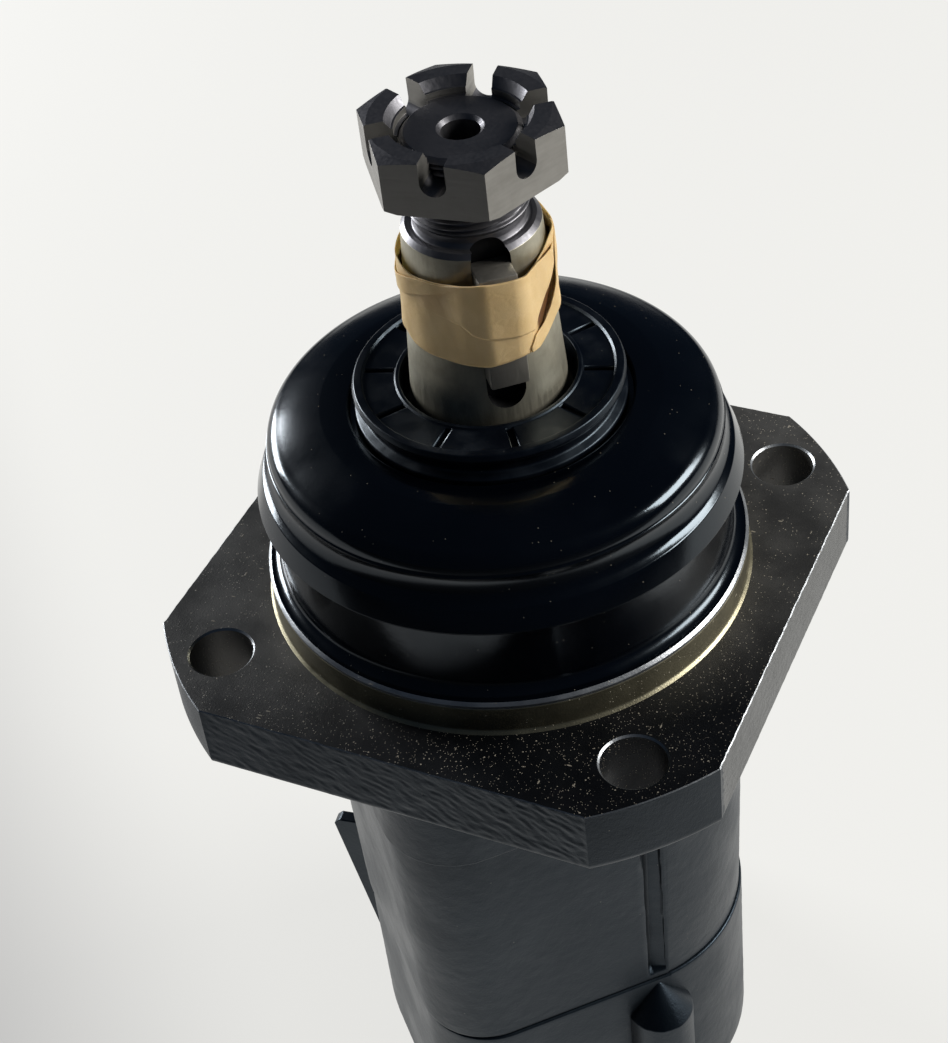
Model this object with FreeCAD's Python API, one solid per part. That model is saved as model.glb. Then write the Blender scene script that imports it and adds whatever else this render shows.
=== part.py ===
import FreeCAD, Part
import math
import os

# Low-speed hydraulic wheel motor with a four-bolt flange and a tapered, keyed shaft.
# Millimetres. The origin is the centre of the flange's mounting face, on the shaft's axis.
# +Z points along the shaft, out of the nose. The motor stands on its flat rear end.

V = FreeCAD.Vector

# Flange and pilot: the side and corner margins are measured from the bolt holes' centres
PILOT_D = 127.0
PILOT_H = 10.0
PILOT_CHAMFER = 0.8
BOLT_CIRCLE_D = 161.9
BOLT_HOLE_D = 16.7
BOLT_COUNT = 4
FLANGE_SIDE = 20.36
FLANGE_CORNER = 12.8
FLANGE_T = 20.4
FLANGE_EDGE_R = 2.5

# Nose, from the pilot up
NECK_D = 118.4
NECK_H = 22.8
NECK_FILLET = 6.0
RIM_D = 125.2
RIM_H = 5.4
SHOULDER_D = 118.8
BAND_H = 14.5
BAND_TOP_D = 116.3
BAND_STEP = 0.4
DOME_H = 9.7
DOME_FLAT_D = 86.0
DOME_SHOULDER_R = 5.5
DOME_SLOPE = 20.4

# Body below the flange: a near-square turned 45 degrees, wider at the flange by its draft.
# Its corners point right, back, left and front, and each has its own radius.
BODY_H = 101.6
FACE_AZIMUTH = -45.0
BODY_HALF_FRONT = 58.5
BODY_HALF_SIDE = 53.3
BODY_DRAFT = 1.9
BODY_RIGHT_R = 43.0
BODY_BACK_R = 25.0
BODY_LEFT_R = 54.0
BODY_FRONT_R = 20.0
COLLAR_H = 21.5
COLLAR_PROUD = 1.0
ROOT_FLARE = 1.5
GROOVE_D = 5.2
GROOVE_OFFSET = 11.5
GROOVE_FOOT = 3.0

# Rear housing
REAR_SHIFT = 0.8
REAR_FLOOR_T = 26.0
REAR_EDGE_R = 9.0
BOSS_R = 9.6
BOSS_CONE_H = 11.4
BOSS_TOP_GAP = 1.6
FIN_T = 4.0
FIN_TOP_R = 67.7
FIN_LOW_R = 57.4
FIN_H = 60.0
FIN_BEVEL = 2.0
FIN_AZIMUTH = 188.0
CAVITY_D = 87.0

# Seals
SEAL_RECESS_D = 71.6
SEAL_RECESS_H = 2.5
DUST_SEAL_D = 68.6
DUST_SEAL_H = 9.6
DUST_LIP_H = 2.6
DUST_GROOVE = 2.2
PANEL_D = 62.6
PANEL_DROP = 0.7
INNER_LIP_D = 44.6
INNER_LIP_W = 0.9
SPOKES = 10
SPOKE_TURN = 18.0
SPOKE_W = 1.8
SPOKE_DEPTH = 1.2
SEAL_BORE_D = 55.0
DUST_SLEEVE_H = 4.0
SHAFT_SEAL_H = 7.0
SEAL_BORE_H = 12.5
NOSE_WEB = 2.0

# Tapered roller bearings
BEARING_T = 20.0
CONE_W = 18.0
CUP_W = 18.0
ROLLER_LEN = 13.0
BEARING_ROLLER_SHARE = 0.5667
ROLLER_TAPER = 0.5
ROLLER_TILT = 10.0
ROLLER_GAP = 1.45
POCKET_PLAY = 0.25
RIB_GAP_BIG = 1.0
RIB_GAP_SMALL = 0.6
FRONT_BORE_D = 45.0
FRONT_CUP_D = 75.0
REAR_BORE_D = 50.0
REAR_CUP_D = 80.0
CAGE_T = 1.2
LOCK_RING_T = 6.0
LOCK_RING_INSET = 1.5
LOCK_RING_WIDER = 1.0
NOTCH_W = 5.0
NOTCH_DEPTH = 3.0

# Output shaft
SHAFT_COLLAR_D = 54.0
SHAFT_COLLAR_L = 58.0
SEAL_JOURNAL_D = 42.0
TAPER_SMALL_D = 33.6
TAPER_L = 51.2
TAPER_RATE = 1.0 / 8.0
SHOULDER_CHAMFER = 1.2
UNDERCUT_D = 26.4
UNDERCUT_L = 3.6
THREAD_D = 28.57
THREAD_L = 20.5
THREAD_CHAMFER = 1.2
CENTRE_HOLE_D = 9.3
CENTRE_HOLE_L = 16.0
SHAFT_TAIL = 2.0

# Key, nut and tape
KEY_W = 9.525
KEY_L = 30.2
KEY_START = 18.2
KEYWAY_START = 9.0
KEYWAY_PAST_TAPER = 3.4
KEY_AZIMUTH = -50.0
NUT_ACROSS = 42.9
NUT_H = 14.1
NUT_SEAT = 10.6
NUT_SLOT_W = 6.3
NUT_SLOT_H = 8.4
NUT_TURN = 7.3
NUT_CHAMFER_H = 2.1
NUT_RING_D = 31.4
TAPE_W = 22.6
TAPE_START = 22.4
TAPE_T = 0.8

# Splines and drive link
SPLINE_TEETH = 12
SPLINE_MAJOR_D = 30.4
SPLINE_ROOT_D = 26.6
SPLINE_TIP_HALF = 5.2
SPLINE_ROOT_HALF = 7.0
SPLINE_PLAY = 0.7
SPLINE_L = 20.0
SPLINE_CROWN = 0.5
LINK_D = 21.0
LINK_TOP_GAP = 4.0
LINK_DROP = 9.0
LINK_HOLE_D = 8.0
LINK_HOLE_L = 5.0

# Valve
SPOOL_D = 60.0
SPOOL_BORE_D = 40.0
SPOOL_GROOVE_W = 8.0
SPOOL_GROOVE_DEPTH = 3.0
SPOOL_SLOT_W = 4.6
SLEEVE_D = 83.0
CHAMBER_H = 4.0
TONGUE_W = 8.0
TONGUE_H = 5.5
WINDOW_D = 4.4
FEED_D = 5.2
FEED_TOP_GAP = 3.2
FEED_SLOT_R = 28.5
FEED_SLOT_H = 2.5

# Geroler set: seven rollers around a rotor with six lobes
ROLLER_COUNT = 7
ROLLER_CIRCLE_R = 32.0
ROLLER_R = 6.0
ECCENTRICITY = 2.8
GEROLER_L = 30.0
DISTRIBUTOR_T = 6.0
DISTRIBUTOR_BORE_D = 37.0
END_PLATE_T = 6.0
END_PLATE_HOLE_D = 10.0
SPACER_T = 3.5
SPACER_D = 24.0

# Ports
PORT_D = 20.4
PORT_L = 15.0
PORT_FACE_D = 30.0
PORT_OFFSET = 17.0
PORT_GALLERY_D = 9.0
PORT_PITCH = 20.0
PORT_HEIGHT = 16.0
PORT_AZIMUTH = 135.0
DRAIN_D = 12.9
DRAIN_L = 12.0
DRAIN_GALLERY_D = 3.6
DRAIN_FACE_D = 22.0
DRAIN_AZIMUTH = 45.0
PORT_PROUD = 2.6

# Screws, pins, plug and seal ring of the joint between the housings
SCREW_D = 8.0
SCREW_HEAD_D = 13.0
SCREW_HEAD_H = 8.0
SCREW_CIRCLE_D = 107.0
SCREW_TURN = 13.0
SCREW_SKEW = 3.0
SCREW_GRIP = 20.0
SCREW_SOCKET_AF = 6.0
SCREW_SOCKET_L = 5.0
SCREW_HOLE_PLAY = 0.4
SCREW_DEEP = 19.0
DOWEL_D = 5.0
DOWEL_L = 20.0
DOWEL_CIRCLE_D = 101.0
RING_CIRCLE_D = 92.4
RING_SECTION_D = 2.0
PLUG_D = 8.4
PLUG_L = 9.0
GALLERY_L = 34.0
PLUG_SOCKET_AF = 4.0
PLUG_SOCKET_L = 4.0

# Clearances
SEAT = 0.03
RUN = 0.06
FREE = 0.15
FACE_GAP = 0.05

# Heights that follow from the stack, from the nose down
pilot_top = PILOT_H
rim_z = pilot_top + NECK_H
band_top = rim_z + BAND_H
nose_top = band_top + DOME_H
seal_seat = nose_top - SEAL_RECESS_H
seal_floor = seal_seat - SEAL_BORE_H
front_cup_back = seal_floor - NOSE_WEB
front_cone_back = front_cup_back - BEARING_T
rear_cone_back = front_cone_back - SHAFT_COLLAR_L
rear_cup_back = rear_cone_back - BEARING_T
lock_ring_low = rear_cup_back - LOCK_RING_T
sleeve_top = lock_ring_low - CHAMBER_H
body_low = -FLANGE_T - BODY_H
distributor_low = body_low - DISTRIBUTOR_T
geroler_low = distributor_low - GEROLER_L
cavity_floor = geroler_low - END_PLATE_T
base_z = cavity_floor - REAR_FLOOR_T
screw_seat = base_z + SCREW_DEEP

# Heights on the shaft
taper_start = nose_top
taper_end = taper_start + TAPER_L
undercut_start = taper_end + SHOULDER_CHAMFER
thread_start = undercut_start + UNDERCUT_L
shaft_end = thread_start + THREAD_L
shaft_low = lock_ring_low - SHAFT_TAIL
spool_top = sleeve_top
link_top = (front_cone_back + rear_cone_back) / 2.0 - LINK_DROP
upper_spline_z = link_top - LINK_TOP_GAP - SPLINE_L / 2.0
lower_spline_z = geroler_low + GEROLER_L / 2.0
port_a_z = body_low + PORT_HEIGHT + PORT_PITCH
port_b_z = body_low + PORT_HEIGHT
window_z = (port_a_z + port_b_z) / 2.0
port_lines = ((-PORT_OFFSET, port_a_z), (PORT_OFFSET, port_b_z))
drain_z = (lock_ring_low + sleeve_top) / 2.0


def unit(degrees, radius=1.0, z=0.0):
    """Point at an azimuth and radius."""
    angle = math.radians(degrees)
    return V(radius * math.cos(angle), radius * math.sin(angle), z)


def on_face(azimuth, distance, offset, z):
    """Point at a distance along a face's normal and an offset to the left of it."""
    return unit(azimuth, distance, z) + unit(azimuth + 90.0, offset)


def pin(x, y, radius, z_low, z_high):
    """Upright cylinder."""
    return Part.makeCylinder(radius, z_high - z_low, V(x, y, z_low))


def pin_at(azimuth, circle_r, radius, z_low, z_high):
    """Upright cylinder on a circle about the axis."""
    spot = unit(azimuth, circle_r)
    return pin(spot.x, spot.y, radius, z_low, z_high)


def ring(r_in, r_out, z_low, z_high):
    """Plain ring about the axis."""
    return pin(0, 0, r_out, z_low, z_high).cut(pin(0, 0, r_in, z_low - 1.0, z_high + 1.0))


def drill(azimuth, offset, z, radius, far, near):
    """Level cylinder along a face's normal, from the near distance out to the far one."""
    return Part.makeCylinder(radius, far - near, on_face(azimuth, near, offset, z), unit(azimuth))


def profile(start, *steps):
    """Closed face in the radius and height plane: lines as (r, z), arcs as (mid r, mid z, r, z)."""
    points = [V(start[0], 0, start[1])]
    edges = []
    for step in steps:
        end = V(step[-2], 0, step[-1])
        if len(step) == 4:
            edges.append(Part.Arc(points[-1], V(step[0], 0, step[1]), end).toShape())
        else:
            edges.append(Part.makeLine(points[-1], end))
        points.append(end)
    edges.append(Part.makeLine(points[-1], points[0]))
    return Part.Face(Part.Wire(edges))


def revolve(start, *steps):
    """Solid of revolution of a profile."""
    return profile(start, *steps).revolve(V(0, 0, 0), V(0, 0, 1), 360)


def polygon(points, height):
    """Prism on a closed list of points."""
    return Part.Face(Part.makePolygon(points + [points[0]])).extrude(V(0, 0, height))


def hexagon(across, z_low, z_high, turn=0.0):
    """Six-sided prism of a size across flats."""
    radius = across / math.sqrt(3.0)
    return polygon([unit(turn + 60.0 * k, radius, z_low) for k in range(6)], z_high - z_low)


def fuse(shapes):
    """One solid from several that touch."""
    return shapes[0].multiFuse(shapes[1:]).removeSplitter()


def group(shapes):
    """Several loose solids in one node."""
    return Part.makeCompound(shapes)


def save(node, shape):
    """Writes one sub-part."""
    shape.exportStep("parts/" + node + ".step")


def section(z, shift=0.0, grow=0.0):
    """Outline of the body at a height, grown outwards all round."""
    edges = []
    arcs = []
    wider = grow + draft(z)
    corners = ((BODY_RIGHT_R, 1, 1), (BODY_BACK_R, -1, 1), (BODY_LEFT_R, -1, -1), (BODY_FRONT_R, 1, -1))
    for k, (tight_r, front, side) in enumerate(corners):
        radius = tight_r + grow
        centre = (unit(FACE_AZIMUTH, front * (BODY_HALF_FRONT + wider - radius), z)
                  + unit(FACE_AZIMUTH + 90.0, side * (BODY_HALF_SIDE + wider - radius)) + V(shift, 0, 0))
        arcs.append([centre + unit(90.0 * k + turn, radius) for turn in (-45.0, 0.0, 45.0)])
    for corner in range(4):
        here = arcs[corner]
        following = arcs[(corner + 1) % 4]
        edges.append(Part.Arc(here[0], here[1], here[2]).toShape())
        edges.append(Part.makeLine(here[2], following[0]))
    return Part.Wire(edges)


def loft(*wires):
    """Straight-sided solid through outlines."""
    return Part.makeLoft(list(wires), True, True)


def draft(z):
    """How far the body's faces stand out at a height, beyond their half-widths at the joint."""
    return BODY_DRAFT * max(0.0, (z - body_low) / BODY_H)


def taper_r(z):
    """Radius of the shaft's taper at a height."""
    return TAPER_SMALL_D / 2.0 + (taper_end - z) * TAPER_RATE / 2.0


def flange():
    """Square flange with its corners turned, softened below."""
    half = BOLT_CIRCLE_D / 2.0 * math.sqrt(0.5) + FLANGE_SIDE
    plate = Part.makeBox(2.0 * half, 2.0 * half, FLANGE_T, V(-half, -half, -FLANGE_T))
    plate = plate.common(pin(0, 0, BOLT_CIRCLE_D / 2.0 + FLANGE_CORNER, -FLANGE_T, 0))
    low = [e for e in plate.Edges if e.BoundBox.ZMax < -FLANGE_T + 0.01]
    return plate.makeFillet(FLANGE_EDGE_R, low)


def nose():
    """Pilot, hollow neck, rim, concave band and dome, as one turned form."""
    pilot_r = PILOT_D / 2.0
    neck_r = NECK_D / 2.0
    fillet_top = pilot_top + NECK_FILLET
    shoulder_z = rim_z + RIM_H + 1.2
    dome_r = BAND_TOP_D / 2.0 - BAND_STEP
    dome_low = band_top + BAND_STEP
    flat_r = DOME_FLAT_D / 2.0
    slope = math.radians(DOME_SLOPE)
    halfway = (math.pi / 2.0 - slope) / 2.0
    shoulder_r = dome_r - DOME_SHOULDER_R
    flare = math.sqrt(0.5)
    return revolve(
        (0, -1.0),
        (pilot_r, -1.0),
        (pilot_r, pilot_top - PILOT_CHAMFER),
        (pilot_r - PILOT_CHAMFER, pilot_top),
        (neck_r + (pilot_r - PILOT_CHAMFER - neck_r) * (1.0 - flare), fillet_top - NECK_FILLET * flare,
         neck_r, fillet_top),
        (neck_r, rim_z - 1.0),
        (RIM_D / 2.0 - 0.4, rim_z),
        (RIM_D / 2.0, rim_z + 0.6),
        (RIM_D / 2.0, rim_z + RIM_H - 0.8),
        (RIM_D / 2.0 - 0.6, rim_z + RIM_H + 0.4, SHOULDER_D / 2.0 + 0.4, shoulder_z),
        (SHOULDER_D / 2.0 - 1.4, (shoulder_z + band_top) / 2.0, BAND_TOP_D / 2.0, band_top),
        (dome_r, dome_low),
        (shoulder_r + DOME_SHOULDER_R * math.cos(halfway), dome_low + DOME_SHOULDER_R * math.sin(halfway),
         shoulder_r + DOME_SHOULDER_R * math.sin(slope), dome_low + DOME_SHOULDER_R * math.cos(slope)),
        (flat_r, nose_top),
        (0, nose_top))


def body():
    """Drafted casting below the flange, with a collar and a flare where it meets the flange."""
    collar_low = -FLANGE_T - COLLAR_H
    top = -FLANGE_T + 0.5
    flare_low = -FLANGE_T - ROOT_FLARE
    main = loft(section(top), section(body_low))
    collar = loft(section(top, grow=COLLAR_PROUD), section(collar_low, grow=COLLAR_PROUD))
    flare = loft(section(top, grow=COLLAR_PROUD + ROOT_FLARE), section(flare_low, grow=COLLAR_PROUD))
    return [main, collar, flare]


def housing_groove():
    """Long half-round groove down the front face, ending above the rear housing."""
    high = on_face(FACE_AZIMUTH, BODY_HALF_FRONT + draft(-FLANGE_T) + 0.2, GROOVE_OFFSET, -FLANGE_T)
    low = on_face(FACE_AZIMUTH, BODY_HALF_FRONT + 0.2, GROOVE_OFFSET, body_low)
    slope = low - high
    length = slope.Length - GROOVE_FOOT
    return Part.makeCylinder(GROOVE_D / 2.0, length, high, slope)


def housing_bores():
    """Everything turned or threaded inside the bearing housing, as one cutter."""
    front_r = FRONT_CUP_D / 2.0 + SEAT
    rear_r = REAR_CUP_D / 2.0 + SEAT
    sleeve_r = SLEEVE_D / 2.0 + SEAT
    ring_r = rear_r + LOCK_RING_WIDER
    return revolve(
        (0, nose_top + 1.0),
        (SEAL_RECESS_D / 2.0, nose_top + 1.0),
        (SEAL_RECESS_D / 2.0, seal_seat),
        (SEAL_BORE_D / 2.0 + SEAT, seal_seat),
        (SEAL_BORE_D / 2.0 + SEAT, seal_floor),
        (FRONT_BORE_D / 2.0 + 2.0, seal_floor),
        (FRONT_BORE_D / 2.0 + 2.0, front_cup_back),
        (front_r, front_cup_back),
        (front_r, front_cup_back - CUP_W - 1.0),
        (front_r + 0.5, front_cup_back - CUP_W - 1.0),
        (front_r + 0.5, rear_cup_back + CUP_W),
        (rear_r, rear_cup_back + CUP_W),
        (rear_r, rear_cup_back),
        (ring_r, rear_cup_back),
        (ring_r, lock_ring_low),
        (sleeve_r, lock_ring_low),
        (sleeve_r, body_low - 1.0),
        (0, body_low - 1.0))


class Port:
    """Threaded port in a round boss, with the gallery that it opens into."""

    def __init__(self, azimuth, offset, z, half, hole_d, depth, face_d, gallery_d):
        self.line = (azimuth, offset, z)
        self.face = half + PORT_PROUD
        self.hole_r = hole_d / 2.0
        self.depth = depth
        self.face_r = face_d / 2.0
        self.gallery_r = gallery_d / 2.0
        self.inside = math.sqrt((SLEEVE_D / 2.0) ** 2 - offset ** 2)

    def boss(self):
        """Round boss that stands out of the casting."""
        return drill(*self.line, self.face_r, self.face, self.inside + 3.0)

    def cuts(self):
        """Threaded hole and gallery."""
        return [drill(*self.line, self.hole_r, self.face + 1.0, self.face - self.depth),
                drill(*self.line, self.gallery_r, self.face, self.inside - 1.0)]


def ports():
    """Two work ports on the back face and the case drain beside them."""
    work = [Port(PORT_AZIMUTH, offset, z, BODY_HALF_FRONT, PORT_D, PORT_L, PORT_FACE_D, PORT_GALLERY_D)
            for offset, z in port_lines]
    drain = Port(DRAIN_AZIMUTH, 0.0, drain_z, BODY_HALF_SIDE, DRAIN_D, DRAIN_L, DRAIN_FACE_D, DRAIN_GALLERY_D)
    return work + [drain]


def screw_azimuths():
    """Azimuths of the four screws, in pairs about the front and back corners."""
    return [corner + SCREW_SKEW + turn for corner in (90.0, 270.0) for turn in (-SCREW_TURN, SCREW_TURN)]


def bearing_housing():
    """Casting with the flange, pilot, nose and body, bored for the shaft, bearings and valve."""
    solid = fuse([flange(), nose()] + body() + [port.boss() for port in ports()])
    cuts = [housing_bores(), housing_groove()]
    for k in range(BOLT_COUNT):
        cuts.append(pin_at(45.0 + 90.0 * k, BOLT_CIRCLE_D / 2.0, BOLT_HOLE_D / 2.0, -FLANGE_T - 1.0, 1.0))
    for port in ports():
        cuts += port.cuts()
    for azimuth in screw_azimuths():
        cuts.append(pin_at(azimuth, SCREW_CIRCLE_D / 2.0, SCREW_D / 2.0 + SEAT,
                           body_low - 1.0, body_low + SCREW_GRIP + 2.0))
    cuts += dowel_holes()
    cuts.append(ring_groove())
    return solid.cut(group(cuts))


def dowel_holes():
    """Two blind holes for the dowels, open to both housings."""
    return [pin_at(180.0 * k, DOWEL_CIRCLE_D / 2.0, DOWEL_D / 2.0 + SEAT,
                   body_low - DOWEL_L / 2.0 - FREE, body_low + DOWEL_L / 2.0 + FREE) for k in range(2)]


def ring_groove():
    """Square groove for the seal ring in the bearing housing's lower face."""
    half = RING_SECTION_D / 2.0 + SEAT
    mid = RING_CIRCLE_D / 2.0
    return ring(mid - half, mid + half, body_low - 0.5, body_low + RING_SECTION_D)


def rear_housing():
    """Cup that holds the geroler set, with a cone-topped boss, a casting fin and a flat base."""
    outer = loft(section(body_low, REAR_SHIFT), section(base_z, REAR_SHIFT))
    low = [e for e in outer.Edges if e.BoundBox.ZMax < base_z + 0.01]
    outer = outer.makeFillet(REAR_EDGE_R, low)
    cone_top = body_low - BOSS_TOP_GAP
    cone_low = cone_top - BOSS_CONE_H
    spot = on_face(FACE_AZIMUTH, BODY_HALF_FRONT, GROOVE_OFFSET, 0)
    boss = pin(spot.x, spot.y, BOSS_R, base_z, cone_low)
    cone = Part.makeCone(BOSS_R, 0.3, cone_top - cone_low, V(spot.x, spot.y, cone_low))
    solid = fuse([outer, boss, cone, casting_fin()])
    cuts = [pin(0, 0, CAVITY_D / 2.0, cavity_floor, body_low + 1.0)]
    cuts.append(pin(spot.x, spot.y, PLUG_D / 2.0 + SEAT, base_z - 1.0, base_z + GALLERY_L))
    for azimuth in screw_azimuths():
        cuts.append(pin_at(azimuth, SCREW_CIRCLE_D / 2.0, SCREW_D / 2.0 + SCREW_HOLE_PLAY,
                           base_z, body_low + 1.0))
        cuts.append(pin_at(azimuth, SCREW_CIRCLE_D / 2.0, SCREW_HEAD_D / 2.0 + SCREW_HOLE_PLAY,
                           base_z - 1.0, screw_seat))
    cuts += dowel_holes()
    return solid.cut(group(cuts))


def casting_fin():
    """Thin wedge below the joint, widest at its top and flush lower down."""
    top = body_low - 0.6
    root = CAVITY_D / 2.0 + 4.0
    outline = profile((root, top),
                      (FIN_TOP_R - FIN_BEVEL, top),
                      (FIN_TOP_R, top - FIN_BEVEL),
                      (FIN_LOW_R, top - FIN_H),
                      (root, top - FIN_H))
    fin = outline.extrude(V(0, FIN_T, 0))
    fin.translate(V(0, -FIN_T / 2.0, 0))
    fin.rotate(V(0, 0, 0), V(0, 0, 1), FIN_AZIMUTH)
    return fin


def dust_seal():
    """Outer wiper: two round lips with a groove between them and a panelled top face."""
    low = seal_seat
    top = low + DUST_SEAL_H
    outer = DUST_SEAL_D / 2.0
    lip = DUST_LIP_H / 2.0
    panel_z = top - PANEL_DROP
    lip_r = INNER_LIP_D / 2.0
    bore = SEAL_JOURNAL_D / 2.0 + RUN
    solid = revolve(
        (SEAL_BORE_D / 2.0, low - DUST_SLEEVE_H),
        (SEAL_BORE_D / 2.0, low),
        (outer - 0.8, low),
        (outer, low + lip, outer - 0.6, low + DUST_LIP_H),
        (outer - DUST_GROOVE, low + DUST_LIP_H + 0.8),
        (outer - DUST_GROOVE, top - DUST_LIP_H - 0.8),
        (outer - 0.6, top - DUST_LIP_H),
        (outer, top - lip, outer - 1.0, top),
        (PANEL_D / 2.0 + 0.3, top),
        (PANEL_D / 2.0, panel_z),
        (lip_r + INNER_LIP_W, panel_z),
        (lip_r + INNER_LIP_W, panel_z + 0.4),
        (lip_r, panel_z + 0.4),
        (bore, nose_top - 1.0),
        (bore, low - 1.0),
        (SEAL_BORE_D / 2.0 - 3.0, low - DUST_SLEEVE_H))
    mid = (lip_r + INNER_LIP_W + PANEL_D / 2.0) / 2.0
    length = PANEL_D / 2.0 - lip_r - INNER_LIP_W
    cuts = []
    for k in range(SPOKES):
        slot = Part.makeBox(length, SPOKE_W, SPOKE_DEPTH + 1.0,
                            V(mid - length / 2.0, -SPOKE_W / 2.0, panel_z - SPOKE_DEPTH))
        slot.rotate(V(0, 0, 0), V(0, 0, 1), SPOKE_TURN + 360.0 / SPOKES * k)
        cuts.append(slot)
    return solid.cut(group(cuts))


def shaft_seal():
    """Pressure lip seal in its case, below the outer wiper."""
    low = seal_floor
    top = low + SHAFT_SEAL_H
    case_r = SEAL_BORE_D / 2.0
    lip_r = SEAL_JOURNAL_D / 2.0 + RUN
    return revolve(
        (case_r, low), (case_r, top), (lip_r + 1.5, top), (lip_r + 1.5, top - 1.5),
        (case_r - 2.0, top - 1.5), (case_r - 2.0, low + 3.0), (lip_r + 2.0, low + 3.0),
        (lip_r, low + 2.0), (lip_r, low + 1.2), (lip_r + 1.5, low))


class TaperedBearing:
    """Tapered roller bearing: as many rollers as fit, each a share of the space between the rings."""

    def __init__(self, bore_d, outer_d, back_z, upward):
        self.bore_r = bore_d / 2.0
        self.outer_r = outer_d / 2.0
        self.back_z = back_z
        self.upward = upward
        self.pitch_r = (self.bore_r + self.outer_r) / 2.0
        self.mid = BEARING_T / 2.0 + 0.5
        self.roll_r = (self.outer_r - self.bore_r) * BEARING_ROLLER_SHARE / 2.0
        self.roll_angle = math.degrees(math.atan(ROLLER_TAPER / ROLLER_LEN))
        self.count = int(math.pi / math.asin((self.roll_r + ROLLER_GAP) / self.pitch_r))

    def place(self, shape):
        """Turns the bearing over if it faces down and moves it to its back face."""
        if not self.upward:
            shape.rotate(V(0, 0, 0), V(1, 0, 0), 180)
        shape.translate(V(0, 0, self.back_z))
        return shape

    def race(self, side, h):
        """Radius of the inner (-1) or outer (+1) race at a height above the back face."""
        angle = math.radians(ROLLER_TILT + side * self.roll_angle)
        reach = self.roll_r / math.cos(math.radians(ROLLER_TILT)) + FREE
        return self.pitch_r + side * reach + (self.mid - h) * math.tan(angle)

    def cup(self):
        """Outer ring."""
        low = BEARING_T - CUP_W
        return self.place(revolve((self.outer_r, low), (self.outer_r, BEARING_T),
                                  (self.race(1, BEARING_T), BEARING_T), (self.race(1, low), low)))

    def cone(self):
        """Inner ring with a rib at each end of the race."""
        bore = self.bore_r + SEAT
        low = self.mid - ROLLER_LEN / 2.0 - RIB_GAP_BIG
        high = self.mid + ROLLER_LEN / 2.0 + RIB_GAP_SMALL
        return self.place(revolve(
            (bore, 0), (self.race(-1, low) + 2.0, 0), (self.race(-1, low) + 2.0, low),
            (self.race(-1, low), low), (self.race(-1, high), high),
            (self.race(-1, high) + 0.6, high), (self.race(-1, high) + 0.6, CONE_W), (bore, CONE_W)))

    def roller(self, k, grow=0.0):
        """One tapered roller, or its pocket where it is grown."""
        length = ROLLER_LEN + 2.0 * grow
        big = self.roll_r + ROLLER_TAPER / 2.0 + grow
        shape = Part.makeCone(big, big - ROLLER_TAPER, length, V(0, 0, -length / 2.0))
        shape.rotate(V(0, 0, 0), V(0, 1, 0), -ROLLER_TILT)
        shape.translate(V(self.pitch_r, 0, self.mid))
        shape.rotate(V(0, 0, 0), V(0, 0, 1), 360.0 / self.count * k)
        return shape

    def rollers(self):
        """All rollers, as loose solids."""
        return self.place(group([self.roller(k) for k in range(self.count)]))

    def cage(self):
        """Pressed conical cage with a window for each roller."""
        low = self.mid - ROLLER_LEN / 2.0 - 1.6
        high = self.mid + ROLLER_LEN / 2.0 + 1.6
        slope = math.tan(math.radians(ROLLER_TILT))
        wide = self.pitch_r + (self.mid - low) * slope
        narrow = self.pitch_r + (self.mid - high) * slope
        half = CAGE_T / 2.0
        band = revolve((wide - half, low), (wide + half, low), (narrow + half, high), (narrow - half, high))
        return self.place(band.cut(group([self.roller(k, POCKET_PLAY) for k in range(self.count)])))


def bearing_lock_ring():
    """Threaded ring that holds the rear cup, with four spanner notches."""
    bore_r = (REAR_BORE_D + REAR_CUP_D) / 4.0 - LOCK_RING_INSET
    outer = REAR_CUP_D / 2.0 + LOCK_RING_WIDER
    solid = ring(bore_r, outer, lock_ring_low + FACE_GAP, rear_cup_back)
    cuts = []
    for k in range(4):
        notch = Part.makeBox(NOTCH_W, NOTCH_W, NOTCH_DEPTH,
                             V(bore_r - 1.0, -NOTCH_W / 2.0, lock_ring_low))
        notch.rotate(V(0, 0, 0), V(0, 0, 1), 90.0 * k)
        cuts.append(notch)
    return solid.cut(group(cuts))


def key_frame(shape):
    """Sets a shape made about the local origin on the taper's surface, in line with the key."""
    mid = taper_start + KEY_START + KEY_L / 2.0
    shape.rotate(V(0, 0, 0), V(0, 1, 0), -math.degrees(math.atan(TAPER_RATE / 2.0)))
    shape.translate(V(taper_r(mid), 0, mid))
    shape.rotate(V(0, 0, 0), V(0, 0, 1), KEY_AZIMUTH)
    return shape


def key_slab(width, depth, proud, low, high):
    """Square bar along the taper: widths are across, low and high are measured from its middle."""
    return Part.makeBox(depth + proud, width, high - low, V(-depth, -width / 2.0, low))


def shaft_key():
    """Square key, half sunk in the shaft."""
    half = KEY_L / 2.0
    return key_frame(key_slab(KEY_W, KEY_W / 2.0, KEY_W / 2.0, -half, half))


def keyway():
    """Keyway with two round ends, a little wider than the key."""
    mid = KEY_START + KEY_L / 2.0
    width = KEY_W + 2.0 * RUN
    low = KEYWAY_START - mid + width / 2.0
    high = TAPER_L + KEYWAY_PAST_TAPER - mid - width / 2.0
    depth = KEY_W / 2.0 + SEAT
    slot = key_slab(width, depth, width, low, high)
    ends = [Part.makeCylinder(width / 2.0, depth + width, V(-depth, 0, z), V(1, 0, 0)) for z in (low, high)]
    return key_frame(fuse([slot] + ends))


def spline_prism(tip_r, root_r, tip_half, root_half, z_low, z_high):
    """Prism with the outline of an external spline."""
    points = []
    pitch = 360.0 / SPLINE_TEETH
    for k in range(SPLINE_TEETH):
        points.append(unit(k * pitch - root_half, root_r, z_low))
        points.append(unit(k * pitch - tip_half, tip_r, z_low))
        points.append(unit(k * pitch + tip_half, tip_r, z_low))
        points.append(unit(k * pitch + root_half, root_r, z_low))
    return polygon(points, z_high - z_low)


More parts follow.
